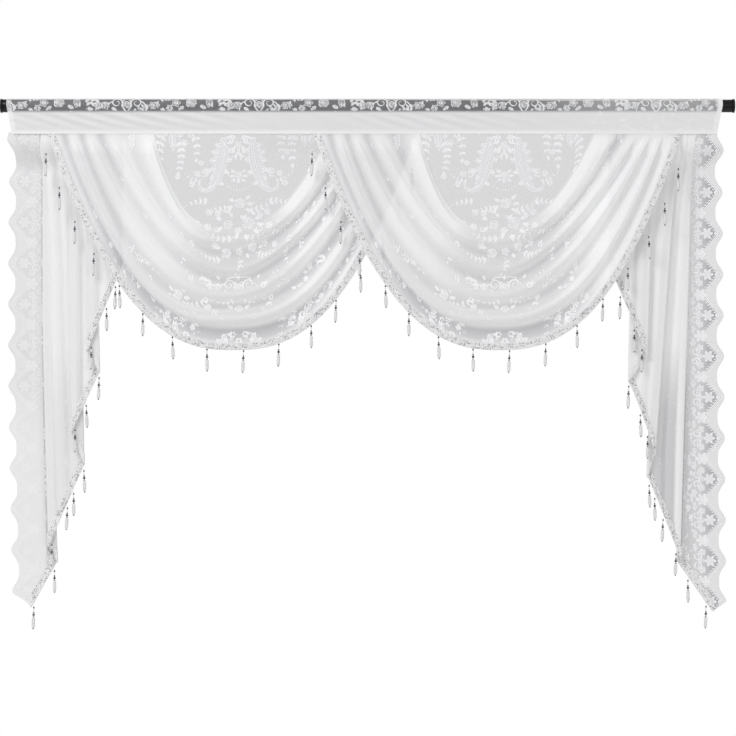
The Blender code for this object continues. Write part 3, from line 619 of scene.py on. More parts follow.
def swagLooks(name, fall, level, away, steep):  # gather with painted highlight on ridges and painted light in the right swag's valleys, closeness of the net with painted shade in valleys, and the painted shade of the gully at the hem
    look = swagLook
    flank = rise(level, *look["flank"])
    valley = (0.5 - 0.5 * np.cos(math.pi * level)) ** 2 * rise(level, *look["folded"])
    onLeft, onRight = rise(-away, *look["left"]), rise(away, *look["right"])
    # painted light: the right swag's outer valleys are whitened against their shade
    valleyLight = onRight * rise(level, *look["valleyLightFrom"]) * look["valleyLit"][name]
    soft = flank * rise(level, *look["softFrom"])  # lower folds show the pattern more faintly
    # painted highlight: the fold ridges are whitened
    gatherAndLight = flank * (look["onFlank"] + look["onLeft"] * onLeft + look["ridgeHighlight"] * (1 - valley)
                      + onRight * (look["onRight"] + look["rightRidgeHighlight"] * (1 - valley)))
    gatherAndLight = gatherAndLight + look["soft"] * soft * (1 - onLeft) * (1 - onRight)
    gatherAndLight = gatherAndLight - look["lowLeft"] * onLeft * rise(fall, *look["low"]) * rise(level, *look["lowFrom"])
    gatherAndLight = np.clip(gatherAndLight + look["steep"] * steep * rise(level, *look["rolled"]), 0, look["most"])
    gatherAndLight = np.maximum(gatherAndLight, look["valleyLight"] * valleyLight)
    # painted shade: a dark band in the lowest fold above the hem
    gullyShade = rise(level, *look["gully"]) * rise(level, *look["gullyEnd"]) * rise(away, *look["gullySide"])
    gullyShade = gullyShade * (1 - onRight)
    # painted shade: darker net in the fold valleys, more on the right
    folds = flank * valley * (look["valleyShade"] + look["rightValleyShade"] * onRight) + look["softNet"] * soft
    closenessAndShade = np.clip(folds * (1 - valleyLight) + look["denseAndShadedNet"] * gullyShade, 0, 1)
    return gatherAndLight * (1 - look["hemShadeLoose"] * gullyShade), closenessAndShade, gullyShade


def buildSwag(name, pieceName, material):
    gully = len(swag["folds"]) - 2
    shares = np.linspace(0, 1, swag["columns"])
    first, others = swag["rowsEach"]
    levels = np.concatenate([np.linspace(0, 1, first, endpoint=False),
                             np.linspace(1, gully + 1, others * gully + 1)])
    points = swagPoints(name, shares, levels)
    hidden = hemLine(name, shares, braid["width"] - braid["under"]) + (0, 0.001, 0)
    lower = swagPoints(name, shares, [gully])[:, 0]
    for row, level in enumerate(levels):
        if level > gully:
            points[:, row] = mix(lower, hidden, level - gully)
            points[:, row, 1] = mix(lower[:, 1], hidden[:, 1], smoothStep(level - gully))
    points[:, :, 2] += swag["tuck"] * (1 - np.clip((seamHeight - points[:, :, 2]) / swag["tuckFall"], 0, 1))
    along = arcs(points, 0)
    along -= along[len(shares) // 2]
    rolled = rise(levels, *swagLook["rolled"])[None, :]
    flatAcross = mix(points[:, :, 0] - swag["middles"][name], along, rolled) + swag["patternAcross"]
    flatDown = arcs(points, 1)
    steep = steepness(points, swag["steep"])
    gatherAndLight, closenessAndShade, gullyShade = swagLooks(name, seamHeight - points[:, :, 2], levels[None, :],
                                        2 * shares[:, None] - 1, steep)
    threads = faded(laceAt(flatAcross, flatDown), gatherAndLight) - swagLook["deepFade"] * gullyShade
    return clothPiece(pieceName, points, np.stack([flatAcross, flatDown], -1),
                      {"threads": threads, "gatherAndLight": gatherAndLight, "closenessAndShade": closenessAndShade}, material)


# Tails. "inward" runs from the outer edge to the middle, "fall" down from the seam.
# Pleats: fold at the top and at the hem, overlap, then the fall of the hem at the inner end and at the fold.
tail = {
    "turnRadius": 0.003, "openFall": 0.10, "returnFall": 0.30, "returnLeast": 0.001, "frontSet": 0.002,
    "layer": 0.0012, "rows": 420, "faceColumns": 26, "lastColumns": 62, "turnColumns": 5, "returnColumns": 4,
    "edgeColumns": 16, "braidColumns": 40, "turnShare": 1 / 9, "edgeReach": 0.03, "patternFrom": (0.07, 0.06),
    "ripple": 0.0012, "rippleTurn": 2.3, "rippleWaves": 7, "steep": 0.5,
    "creases": (3.2, 2.3, 2.6, 2.2), "creaseDepth": 0.0013, "creaseDrift": 0.14, "creaseTurn": 5,
    "ridgeHighlight": 0.92, "ridgeShares": (0.7, 0.82), "lookFall": (0.42, 0.62), "borderFall": (0.5, 0.65),
    "gully": (0.2, 0.9), "gullyShadeLoose": 0.12, "gullyShadeNet": 0.2, "steepGather": 0.1, "shadowLineHalf": 0.0058,
    "fringe": 0.5, "netLimits": (-0.5, 1.45),
    "looks": {  # how gathered and how close each pleat looks, from the inside out, high up and low down; the closer net and lesser gather low down are painted shade as well as closer cloth
        "tail_left": {"gatherAndLight": (0.90, 0.90, 0.90, 0.88), "lowGatherAndLight": (0.88, 0.80, 0.72, 0.66),
                      "dense": (0.1, 0.1, 0.1, 0.1), "lowDenseAndShade": (0.1, 0.1, 0.2, 0.3), "blank": (0, 0, 0, 0),
                      "border": 0.56, "lowBorder": 0.76, "borderDense": 0.05, "pointDense": 0.3, "line": 1.0},
        "tail_right": {"gatherAndLight": (0.95, 0.94, 0.94, 0.84), "lowGatherAndLight": (0.94, 0.88, 0.20, 0.06),
                       "dense": (0.1, 0.1, 0.1, 0.2), "lowDenseAndShade": (0.15, 0.2, 0.50, 0.42),
                       "blank": (0, 0.6, 1.8, 0),
                       "border": 0.0, "lowBorder": 0.0, "borderDense": 0.22, "pointDense": 0.75, "line": 0.0},
    },
    "shapes": {
        "tail_left": {"side": -1, "outerTop": 0.7565, "outerHem": 0.7500, "bow": 0.006, "inner": 0.2336,
                      "corner": 0.0246, "outerFall": 0.988,
                      "pleats": ((0.1490, 0.1575, 0.026, 0.282, 0.462), (0.1147, 0.1210, 0.026, 0.514, 0.636),
                                 (0.0568, 0.0643, 0.019, 0.713, 0.884), (0, 0, 0, 0.921, 1.018))},
        "tail_right": {"side": 1, "outerTop": 0.7490, "outerHem": 0.7590, "bow": 0.0, "inner": 0.2336,
                       "corner": 0.0160, "outerFall": 1.004,
                       "pleats": ((0.1330, 0.1520, 0.041, 0.283, 0.476), (0.0793, 0.1360, 0.018, 0.534, 0.684),
                                  (0.0480, 0.0820, 0.009, 0.738, 0.913), (0, 0, 0, 0.920, 1.026))},
    },
}


def tailColumns(shape, faceColumns, lastColumns):  # (pleat, part, share, hem's fall) from the inner edge out
    columns = []
    pleats = shape["pleats"]
    turns, returns = (np.linspace(0, 1, tail[key] + 1) for key in ("turnColumns", "returnColumns"))
    turned = tail["turnShare"]
    for index, (inner, fold) in enumerate(pleat[3:] for pleat in pleats[:-1]):
        after = pleats[index + 1][3]
        columns += [(index, "face", share, mix(inner, fold, share)) for share in np.linspace(0, 1, faceColumns)]
        for part, start, end, shares in (("back", 0, turned, turns[1:]),
                                         ("return", turned, 1 - turned, returns[1:-1]),
                                         ("forth", 1 - turned, 1, turns[:-1])):
            columns += [(index, part, share, mix(fold, after, mix(start, end, share))) for share in shares]
    return columns + [(len(pleats) - 1, "face", share, mix(*pleats[-1][3:], share))
                      for share in np.linspace(0, 1, lastColumns)]


def hemCover(part, share):  # the braid's upright width: wide on the steep faces, narrower where it turns back
    level = {"face": 0, "back": share, "return": 1, "forth": 1 - share}[part]
    return mix(braid["fall"], braid["returnFall"], level)


def creasesAt(index, share, fall):
    return np.sin(math.tau * (tail["creases"][index] * share
                              + tail["creaseDrift"] * np.sin(tail["creaseTurn"] * fall + 2 * index)))


def tailSection(shape, column, fall):  # inward and depth of one column at some falls
    index, part, share, hem = column
    opening = rise(fall, 0, tail["openFall"])
    turn = math.pi * opening
    radius = tail["turnRadius"]
    inward = np.full_like(fall, shape["inner"])
    depth = tail["layer"] + tail["frontSet"] * opening
    for number, (foldTop, foldHem, overlap, hemInner, hemFold) in enumerate(shape["pleats"][:-1]):
        fold = mix(foldTop, foldHem, np.minimum(fall / hemFold, 1))
        target = fold + radius * np.sin(np.minimum(turn, math.pi / 2))
        if number == index and part == "face":
            wave = np.sin(tail["rippleTurn"] * index + tail["rippleWaves"] * fall)
            belly = math.sin(math.pi * share)
            ripple = tail["ripple"] * wave * belly ** 2 * opening
            crease = tail["creaseDepth"] * creasesAt(index, share, fall) * belly ** 0.5 * opening
            return mix(inward, target, share), depth + ripple + crease
        back = (overlap - 2 * radius) * rise(fall, 0, tail["returnFall"]) + tail["returnLeast"]
        if number == index and part == "back":
            return target - radius * np.sin(turn * share), depth + radius * (1 - np.cos(turn * share))
        startInward, startDepth = target - radius * np.sin(turn), depth + radius * (1 - np.cos(turn))
        inward = target - 2 * radius * np.sin(turn) - back * np.cos(turn)
        depth = depth + 2 * radius * (1 - np.cos(turn)) + back * np.sin(turn)
        endInward, endDepth = inward + radius * np.sin(turn), depth - radius * (1 - np.cos(turn))
        if number == index and part == "return":
            return mix(startInward, endInward, share), mix(startDepth, endDepth, share)
        if number == index:
            angle = turn * (1 - share)
            return inward + radius * np.sin(angle), depth - radius * (1 - np.cos(angle))
    if part == "edge":
        return np.full_like(fall, shape["corner"] * (1 - share)), depth
    fade = rise(share, 0.6, 0) * rise(share, 0, 0.05)
    crease = tail["creaseDepth"] * creasesAt(index, share, fall) * fade * opening
    return mix(inward, shape["corner"], share), depth + crease


def tailPlaces(shape, inward, depth, falls):
    outer = mix(shape["outerTop"], shape["outerHem"], falls)
    outer = outer + shape["bow"] * np.sin(math.pi * np.minimum(falls, 1))
    return np.stack([shape["side"] * (outer - inward), depth, seamHeight - falls], -1)


def scallopPhase(name, fall):
    turn = (fall - scallop["firsts"][name]) / scallop["pitch"]
    return turn - np.round(turn)


def borderThreads(inward, phase):  # rings and scrolls of the scallops, in millimetres from a tip or a notch
    x = 1000 * inward
    fromTip = 1000 * scallop["pitch"] * phase
    ring = 1.2 - np.abs(np.hypot(x + 2.5, fromTip) - 4.4)
    return np.maximum.reduce([
        np.where(x > -4.5, ring, -4),
        drawn(x, fromTip, buds=((-2.5, 0, 1.3),), roses=((37, 0, 7),)),
        drawn(x, np.abs(fromTip), curls=((46, 11, 9, 180, 1.2, 3.4, 2.4),),
              blossoms=((54, 29, 9), (36, 19, 8, 5))),
        bend(x, 500 * scallop["pitch"] - np.abs(fromTip), (44, 0), (50, 8), (60, 10), 2.4, 1.6),
    ])


def tailLooks(name, columns, points, inward, fall, rail):  # gather with painted highlight near the folds, closeness of the net with painted shade in creases, along the last fold and low down, and figures left out
    looks = tail["looks"][name]
    pleats = tail["shapes"][name]["pleats"]
    folded = np.array([column[0] for column in columns])[:, None]
    outer = folded == len(pleats) - 1
    lowered = rise(fall, *tail["lookFall"])
    gatheredAndLit, dense = (mix(np.array(looks[high])[folded], np.array(looks[low])[folded], lowered)
                       for high, low in (("gatherAndLight", "lowGatherAndLight"), ("dense", "lowDenseAndShade")))
    border = mix(looks["border"], looks["lowBorder"], rise(fall, *tail["borderFall"]))
    outside = rise(inward, *(scallop["net"] + fade for fade in scallop["netFade"])) * outer
    # painted highlight: a whiter strip near the fold of each pleat face
    ridgeHighlight = np.array([tail["ridgeHighlight"] * rise(share, *tail["ridgeShares"]) if part == "face" else 0
                      for index, part, share, hem in columns])[:, None] * ~outer
    hollow = np.array([creasesAt(index, share, down) if part == "face" else 0 * down
                       for (index, part, share, hem), down in zip(columns, fall)])
    gully = rise(hollow, *tail["gully"]) * ~outer  # painted shade: the net darkens in the crease hollows
    foldTop, foldHem, foldFall = (pleats[-2][place] for place in (0, 1, 4))
    foldLine = mix(foldTop, foldHem, np.clip(fall / foldFall, 0, 1)) + 0.0005
    # painted shadow: a dark line beside the last fold
    line = looks["line"] * rise(np.abs(inward - foldLine), tail["shadowLineHalf"], 0) * outer
    gatherAndLight = np.maximum(mix(gatheredAndLit, border, outside) - tail["gullyShadeLoose"] * gully, ridgeHighlight)
    gatherAndLight = gatherAndLight + tail["steepGather"] * steepness(points, tail["steep"])
    gatherAndLight = np.clip(gatherAndLight, 0, 0.95) * (1 - line)
    notch, fade = scallop["railNotch"], scallop["pointFade"]
    bordered = outer & (inward < scallop["net"])
    inPoint = rise(rail, 5.7, 6.3) * rise(inward, notch + fade, notch - fade) * bordered
    closenessAndShade = mix(dense, looks["borderDense"], outside) + looks["pointDense"] * inPoint
    closenessAndShade = closenessAndShade - tail["fringe"] * rise(rail, 0.2, -0.8) + tail["gullyShadeNet"] * gully + line
    return gatherAndLight, np.clip(closenessAndShade, *tail["netLimits"]), np.array(looks["blank"])[folded]


def buildTail(name, pieceName, material):
    shape = tail["shapes"][name]
    last = len(shape["pleats"]) - 1
    columns = tailColumns(shape, tail["faceColumns"], tail["lastColumns"])
    columns += [(last, "edge", share, mix(shape["pleats"][-1][4], shape["outerFall"], share))
                for share in np.linspace(0, 1, tail["edgeColumns"] + 1)[1:]]
    places, inwards, falls = [], [], []
    for column in columns:
        index, part, share, hem = column
        end = hem - (0 if part == "edge" else hemCover(part, share) - braid["under"])
        if index == last and part == "face":  # the last face runs down behind its braid
            end = mix(end, hem, rise(share, 0, 0.3))
        fall = end * np.linspace(0, 1, tail["rows"])
        inward, depth = tailSection(shape, column, fall)
        if index == last:
            lobe = (0.5 + 0.5 * np.cos(math.tau * scallopPhase(name, fall))) ** scallop["sharpness"]
            inward = inward - scallop["depth"] * (1 - np.clip(inward / tail["edgeReach"], 0, 1)) * lobe
        places.append(tailPlaces(shape, inward, depth, fall))
        inwards.append(inward)
        falls.append(fall)
    points, inward, fall = np.array(places), np.array(inwards), np.array(falls)
    points[:, :, 2] += swag["tuck"] * (1 - np.clip(fall / swag["tuckFall"], 0, 1))
    along = arcs(points, 0)
    along = along[-1][None] - along  # developed width from the outer edge
    phase = scallopPhase(name, fall)
    outer = np.array([column[0] == last for column in columns])[:, None]
    bordered = outer & (inward < scallop["net"])
    rail = inward - mix(scallop["railTip"], scallop["railNotch"], 2 * np.abs(phase))
    rail = np.where(bordered, 1000 * rail * scallop["pitch"] / 2 / scallop["lean"], 30)  # 30 is off it
    across, down = tail["patternFrom"]
    threads = np.where(bordered, borderThreads(inward, phase), laceAt(along + across, fall + down))
    gatherAndLight, closenessAndShade, blank = tailLooks(name, columns, points, inward, fall, rail)
    values = {
        "threads": np.clip(faded(threads, gatherAndLight) - blank, -4, 4), "gatherAndLight": gatherAndLight, "closenessAndShade": closenessAndShade,
        "rail": rail, "run": 2000 * np.abs(phase) * scallop["lean"],
        "inward": np.where(outer, 1000 * inward, 200)}  # 200 mm is beyond every flower
    flat = np.stack([along, fall], -1)
    if shape["side"] < 0:  # columns run to the right in every grid
        points, flat = points[::-1], flat[::-1]
        values = {field: value[::-1] for field, value in values.items()}
    return clothPiece(pieceName, points, flat, values, material)


# Heading: a sleeve round the rod, sewn through into one flat band underneath
heading = {
    "halfWidth": 0.766, "middle": -0.0064, "endTaper": 0.0107, "radius": 0.0151, "bandHeight": 0.0072,
    "bandHalf": 0.0022, "columns": 640, "patternAcross": 0.2314, "patternDown": 0.338, "sideHem": 0.011,
    "waves": ((46, 1.2, 0.6, 0.0, 0.3), (83, 1.6, 0.0, 2.1, 0.2)), "waveDepth": 0.0016, "waveRest": 0.5,
    "slantDepth": 0.0015, "slantPitch": 0.019, "slantRun": 0.28,
    "below": (0.010, 0.016), "band": (0.0525, 0.054), "gatherAndLight": 0.90, "bandGather": 0.15, "endGather": 0.6,
    "paler": (0.02, 0.36), "palerFrom": (0.25, 0.55), "showing": 0.8, "showingFrom": (0.35, 0.55),
    "showingGather": 0.03, "rodHighlight": 0.66, "rodHighlightHeights": (0.0112, 0.0085), "rodHighlightFrom": (-0.2, 0.6),
}


def headingProfile():  # (y, z, wrinkle weight) from the front of the band over the rod and down to its back
    bottom = seamHeight + seamGap
    bandTop = bottom + heading["bandHeight"]
    radius, half = heading["radius"], heading["bandHalf"]
    tangent = math.asin(radius / -bandTop)
    front = [(-half, z, 0.0) for z in np.linspace(bottom, bandTop, 5)[:-1]]
    for share in np.linspace(0, 1, 16)[:-1]:
        y, z = mix(-half, -radius * math.cos(tangent), share), mix(bandTop, -radius * math.sin(tangent), share)
        front.append((y, z, math.sin(math.pi * share)))
    arc = [(radius * math.cos(angle), radius * math.sin(angle), 0.0)
           for angle in np.linspace(math.pi + tangent, -tangent, 33)]
    return np.array(front + arc + [(-y, z, weight) for y, z, weight in reversed(front)])


def buildHeading(material):
    profile = headingProfile()[::-1]  # rows run down the front at the end
    shares = np.linspace(-1, 1, heading["columns"])
    y, z, weight = (np.broadcast_to(values, (len(shares), len(profile))) for values in profile.T)
    taper = heading["endTaper"] * np.maximum(-z / -seamHeight, 0)
    x = heading["middle"] + shares[:, None] * (heading["halfWidth"] - taper)
    swell = np.full_like(x, heading["waveRest"])
    for waves, slant, phase, drift, share in heading["waves"]:
        swell += share * np.sin(waves * (x + slant * z) + phase + drift * np.sin(5 * x))
    creases = math.tau * (z + heading["slantRun"] * x + 0.006 * np.sin(9 * x)) / heading["slantPitch"]
    strength = 0.5 + 0.5 * np.sin(7.3 * x + 1.1 * np.sin(3.1 * x))
    swell = heading["waveDepth"] * swell + heading["slantDepth"] * strength * np.sin(creases)
    points = np.stack([x, y + np.sign(y) * weight * swell, z], -1)
    down = arcs(points, 1)
    middle = np.argmin(np.abs(profile[:, 0] + heading["radius"]))
    flatDown = down - down[:, middle:middle + 1] + heading["patternDown"]
    flatAcross = x + heading["patternAcross"]
    below = rise(-z, *heading["below"])
    hemStart = heading["halfWidth"] - heading["sideHem"]
    ends = rise(np.abs(x - heading["middle"]) + taper, hemStart, hemStart + 0.002)
    least, more = heading["paler"]
    paler = least + more * rise(x, *heading["palerFrom"])
    showing = rise(x, *heading["showingFrom"])
    # painted light: the cloth under the rod is whitened as if lit through from behind; the band and side hems
    # are whiter as doubled cloth
    gatherAndLight = below * (heading["gatherAndLight"] + heading["showingGather"] * showing) + paler * (1 - below)
    gatherAndLight = gatherAndLight + heading["bandGather"] * rise(-z, *heading["band"]) + heading["endGather"] * ends
    rodHighlight = mix(*heading["rodHighlightHeights"], rise(x, *heading["rodHighlightFrom"]))  # painted highlight: a pale strip along the rod's top
    gatherAndLight = np.clip(np.maximum(gatherAndLight, heading["rodHighlight"] * rise(z, rodHighlight, rodHighlight + 0.002)), 0, 1)
    threads = laceAt(flatAcross, flatDown)
    threads = mix(faded(threads, gatherAndLight), threads, heading["showing"] * showing)
    return clothPiece("headingSleeve", points, np.stack([flatAcross, flatDown], -1),
                      {"threads": threads, "gatherAndLight": gatherAndLight, "closenessAndShade": 0 * gatherAndLight}, material)


# Braid: white woven polyester tape with a cord along both edges, which carries sequins and bead drops
braidLook = {
    "tape": "#f8f8f8", "groove": "#e6e6e7", "half": 0.0008, "cord": 0.0007, "dome": 0.0003, "cordWidth": 0.035,
    "cords": (0.07, 0.93), "weaveScale": 31.25 * math.pi, "weaveTurn": 0.8, "uneven": 1.5, "columns": 420,
    "front": (0, 0.03, 0.07, 0.11, 0.16, 0.3, 0.5, 0.7, 0.84, 0.89, 0.93, 0.97, 1.0),
    "back": (0.96, 0.75, 0.5, 0.25, 0.04),
}


def braidMaterial():
    material, tree, shader = newMaterial("wovenPolyesterBraid")
    cloth = outOf(tree, "ShaderNodeUVMap", uv_map="cloth")
    place = outOf(tree, "ShaderNodeMapping", {"Vector": cloth, "Rotation": (0, 0, braidLook["weaveTurn"])})
    plait = addNode(tree, "ShaderNodeTexWave", {
        "Vector": place, "Scale": braidLook["weaveScale"], "Distortion": braidLook["uneven"],
        "Detail": 1.0}, wave_profile="SIN").outputs["Fac"]
    feed(tree, shader, {
        "Base Color": blend(tree, plait, braidLook["groove"], braidLook["tape"]),
        "Normal": bumps(tree, plait, 0.6, 0.0004), "Roughness": 0.6, "Sheen Weight": 0.2})
    return material


def ribbonPiece(name, upper, lower, material):  # a tape between two lines, with a cord at both edges
    front = np.array(braidLook["front"])
    bulge = braidLook["half"] + braidLook["dome"] * np.sin(math.pi * front)
    for cord in braidLook["cords"]:
        bulge += braidLook["cord"] * np.exp(-((front - cord) / braidLook["cordWidth"]) ** 2)
    bulge[[0, -1]] = 0
    shares = np.concatenate([front, braidLook["back"]])
    heights = np.concatenate([bulge, np.full(len(braidLook["back"]), -braidLook["half"])])
    span = lower - upper
    normal = np.cross(span, np.gradient((upper + lower) / 2, axis=0))
    normal /= np.linalg.norm(normal, axis=1, keepdims=True)
    points = upper[:, None] + span[:, None] * shares[None, :, None] + normal[:, None] * heights[None, :, None]
    wide = np.linalg.norm(span, axis=1)[:, None] * shares
    uvs = np.stack(np.broadcast_arrays(arcs(points, 0)[:, :1], wide), -1).reshape(-1, 2)
    return tube(name, points, material, uvs), normal


def tailPoint(shape, column, fall):
    fall = np.array([fall])
    return tailPlaces(shape, *tailSection(shape, column, fall), fall)[0]


def braidLines(name):  # upper and lower edge, and whether each place faces the front
    if name in swag["middles"]:
        shares = np.linspace(0, 1, braidLook["columns"])
        return hemLine(name, shares, braid["width"]), hemLine(name, shares, 0), np.ones(len(shares), bool)
    shape = tail["shapes"][name]
    columns = tailColumns(shape, tail["braidColumns"], tail["braidColumns"])
    upper = [tailPoint(shape, column, column[3] - hemCover(*column[1:3])) for column in columns]
    lower = [tailPoint(shape, column, column[3]) for column in columns]
    faces = [column[1] == "face" for column in columns]
    return tuple(np.array(line)[::-1 if shape["side"] < 0 else 1] for line in (upper, lower, faces))


# Geometry Nodes
def newTree(name, sizes):
    tree = bpy.data.node_groups.new(name, "GeometryNodeTree")
    tree.interface.new_socket("Geometry", in_out="INPUT", socket_type="NodeSocketGeometry")
    for label, value in sizes.items():
        kind = "NodeSocketInt" if isinstance(value, int) else "NodeSocketFloat"
        tree.interface.new_socket(label, in_out="INPUT", socket_type=kind).default_value = value
    tree.interface.new_socket("Geometry", in_out="OUTPUT", socket_type="NodeSocketGeometry")
    return tree, addNode(tree, "NodeGroupInput").outputs


def spacedPoints(tree, inputs):
    curve = outOf(tree, "GeometryNodeMeshToCurve", {"Mesh": inputs["Geometry"]})
    return outOf(tree, "GeometryNodeResampleCurve", {"Curve": curve, "Length": inputs["Spacing"]},
                 mode="LENGTH")


def randomTurn(tree, low, high, seed):
    low, high = (outOf(tree, "ShaderNodeCombineXYZ", dict(zip("XYZ", turn))) for turn in (low, high))
    return outOf(tree, "FunctionNodeRandomValue", {0: low, 1: high, "Seed": seed}, data_type="FLOAT_VECTOR")


def painted(tree, geometry, material):
    return outOf(tree, "GeometryNodeSetMaterial", {"Geometry": geometry, "Material": material})


def grown(name, guide, tree, sizes):  # the tree's result on a guide mesh, as a plain mesh
    modifier = guide.modifiers.new("grown", "NODES")
    modifier.node_group = tree
    for item in tree.interface.items_tree:
        if item.in_out == "INPUT" and item.name in sizes:
            modifier[item.identifier] = sizes[item.name]
    graph = bpy.context.evaluated_depsgraph_get()
    mesh = bpy.data.meshes.new_from_object(guide.evaluated_get(graph))
    mesh.name = name
    guide.modifiers.remove(modifier)
    bpy.data.objects.remove(guide)
    return linked(name, mesh)


def lineGuide(name, lines):  # edges through runs of points
    edges, first = [], 0
    for line in lines:
        edges += [(first + step, first + step + 1) for step in range(len(line) - 1)]
        first += len(line)
    mesh = bpy.data.meshes.new(name)
    mesh.from_pydata(np.concatenate(lines).tolist(), edges, [])
    return linked(name, mesh)


# Sequins: shallow silvered cups, sewn on in rows and each tipped its own way
sequins = {"Spacing": 0.003, "Radius": 0.0014, "Height": 0.0005, "Tilt": 0.5, "Seed": 7}
sequinLook = {"rows": (0.18, 0.39, 0.61, 0.82), "lift": 0.0017, "sides": 8, "metallic": 0.05, "roughness": 0.35,
              "tones": ((0.0, "#9c9ca2"), (0.2, "#e6e6ea"), (0.5, "#fefefe"))}


def sequinMaterial():
    material, tree, shader = newMaterial("silveredPlasticSequin")
    ramp = addNode(tree, "ShaderNodeValToRGB", {0: fields(tree, "tone")[0]})
    ramp.color_ramp.elements.new(sequinLook["tones"][1][0])
    for element, (place, colour) in zip(ramp.color_ramp.elements, sequinLook["tones"]):
        element.position = place
        element.color = linearColour(colour)
    feed(tree, shader, {"Base Color": ramp.outputs[0], "Metallic": sequinLook["metallic"],
                        "Roughness": sequinLook["roughness"]})
    return material


def sequinTree(material):
    tree, inputs = newTree("sequinRows", sequins)
    cup = outOf(tree, "GeometryNodeMeshCone", {
        "Vertices": sequinLook["sides"], "Radius Top": 0.0, "Radius Bottom": inputs["Radius"],
        "Depth": inputs["Height"]}, fill_type="NONE")
    away = calc(tree, "MULTIPLY", inputs["Tilt"], -1.0)
    lowX, highX = (calc(tree, "ADD", tilt, math.pi / 2) for tilt in (away, inputs["Tilt"]))
    turn = randomTurn(tree, (lowX, 0.0, away), (highX, math.tau, inputs["Tilt"]), inputs["Seed"])
    placed = outOf(tree, "GeometryNodeInstanceOnPoints", {
        "Points": spacedPoints(tree, inputs), "Instance": cup, "Rotation": turn})
    tone = addNode(tree, "FunctionNodeRandomValue", {"Seed": inputs["Seed"]}, data_type="FLOAT").outputs[1]
    toned = outOf(tree, "GeometryNodeStoreNamedAttribute", {"Geometry": placed, "Name": "tone", "Value": tone},
                  data_type="FLOAT", domain="INSTANCE")
    real = outOf(tree, "GeometryNodeRealizeInstances", {"Geometry": toned})
    addNode(tree, "NodeGroupOutput", {"Geometry": painted(tree, real, material)})
    return tree


# Bead drops, from the top: dark bead, clear bead, dark cone, big faceted bead, disc, pale bugle, grey tip
# Each bead: shape, middle below the hem, radius, half height, sides, material
dropBeads = (
    ("ball", 0.0028, 0.0019, 0.0023, 8, "smoky"), ("ball", 0.0081, 0.0014, 0.0032, 8, "clear"),
    ("ball", 0.0133, 0.0017, 0.0020, 8, "smoky"), ("ball", 0.0181, 0.0029, 0.0032, 8, "smoky"),
    ("ball", 0.0229, 0.0022, 0.0011, 8, "smoky"), ("tube", 0.0253, (0.0026, 0.0036), 0.0009, 12, "pale"),
    ("tube", 0.0350, (0.0036, 0.0036), 0.0088, 12, "pale"),
    ("tube", 0.0454, (0.0036, 0.0020), 0.0016, 12, "pale"),
    ("ball", 0.0480, 0.0018, 0.0020, 8, "tip"),
)
beadLooks = {  # glass and resin: material, colour, metallic, roughness, alpha
    "smoky": ("smokedGlassBead", "#66666c", 0.5, 0.14, 1.0),
    "clear": ("clearGlassBead", "#f2f2f4", 0.0, 0.08, 0.55),
    "pale": ("frostedAcrylicBugle", "#f6f6f7", 0.0, 0.22, 0.82),
    "tip": ("silveredTipBead", "#98989c", 0.6, 0.25, 1.0),
    "thread": ("nylonThread", "#e0e0e2", 0.0, 0.5, 0.9),
}
drops = {"Thread": 0.00035, "Swing": 0.05, "Seed": 3}
swagDrops = {"pitch": 0.0789, "first": 0.046, "count": 16, "throw": 0.018, "steep": (0.80, 0.92), "root": 0.002}
tailDrops = {  # pleat, and share of its face, of each drop
    "tail_left": ((0, 0.24), (0, 0.50), (0, 0.96), (1, 0.05), (1, 0.54), (1, 0.97), (2, 0.04), (2, 0.33),
                  (2, 0.51), (2, 0.97), (3, 0.16), (3, 0.97)),
    "tail_right": ((0, 0.33), (0, 0.70), (0, 0.92), (1, 0.03), (1, 0.44), (1, 0.75), (2, 0.08), (2, 0.24),
                   (2, 0.50), (2, 0.92), (3, 0.35), (3, 0.88)),
    "throw": 0.004, "root": 0.003,
}


def beadMaterial(name, colour, metallic, roughness, alpha):
    material, tree, shader = newMaterial(name)
    dark, light = (tuple(min(part * bright, 1) for part in linearColour(colour)[:3]) + (1,)
                   for bright in (0.8, 1.2))
    feed(tree, shader, {"Base Color": blend(tree, grain(tree, 260.0, 1.0), dark, light), "Metallic": metallic,
                        "Roughness": roughness, "Alpha": alpha})
    return material


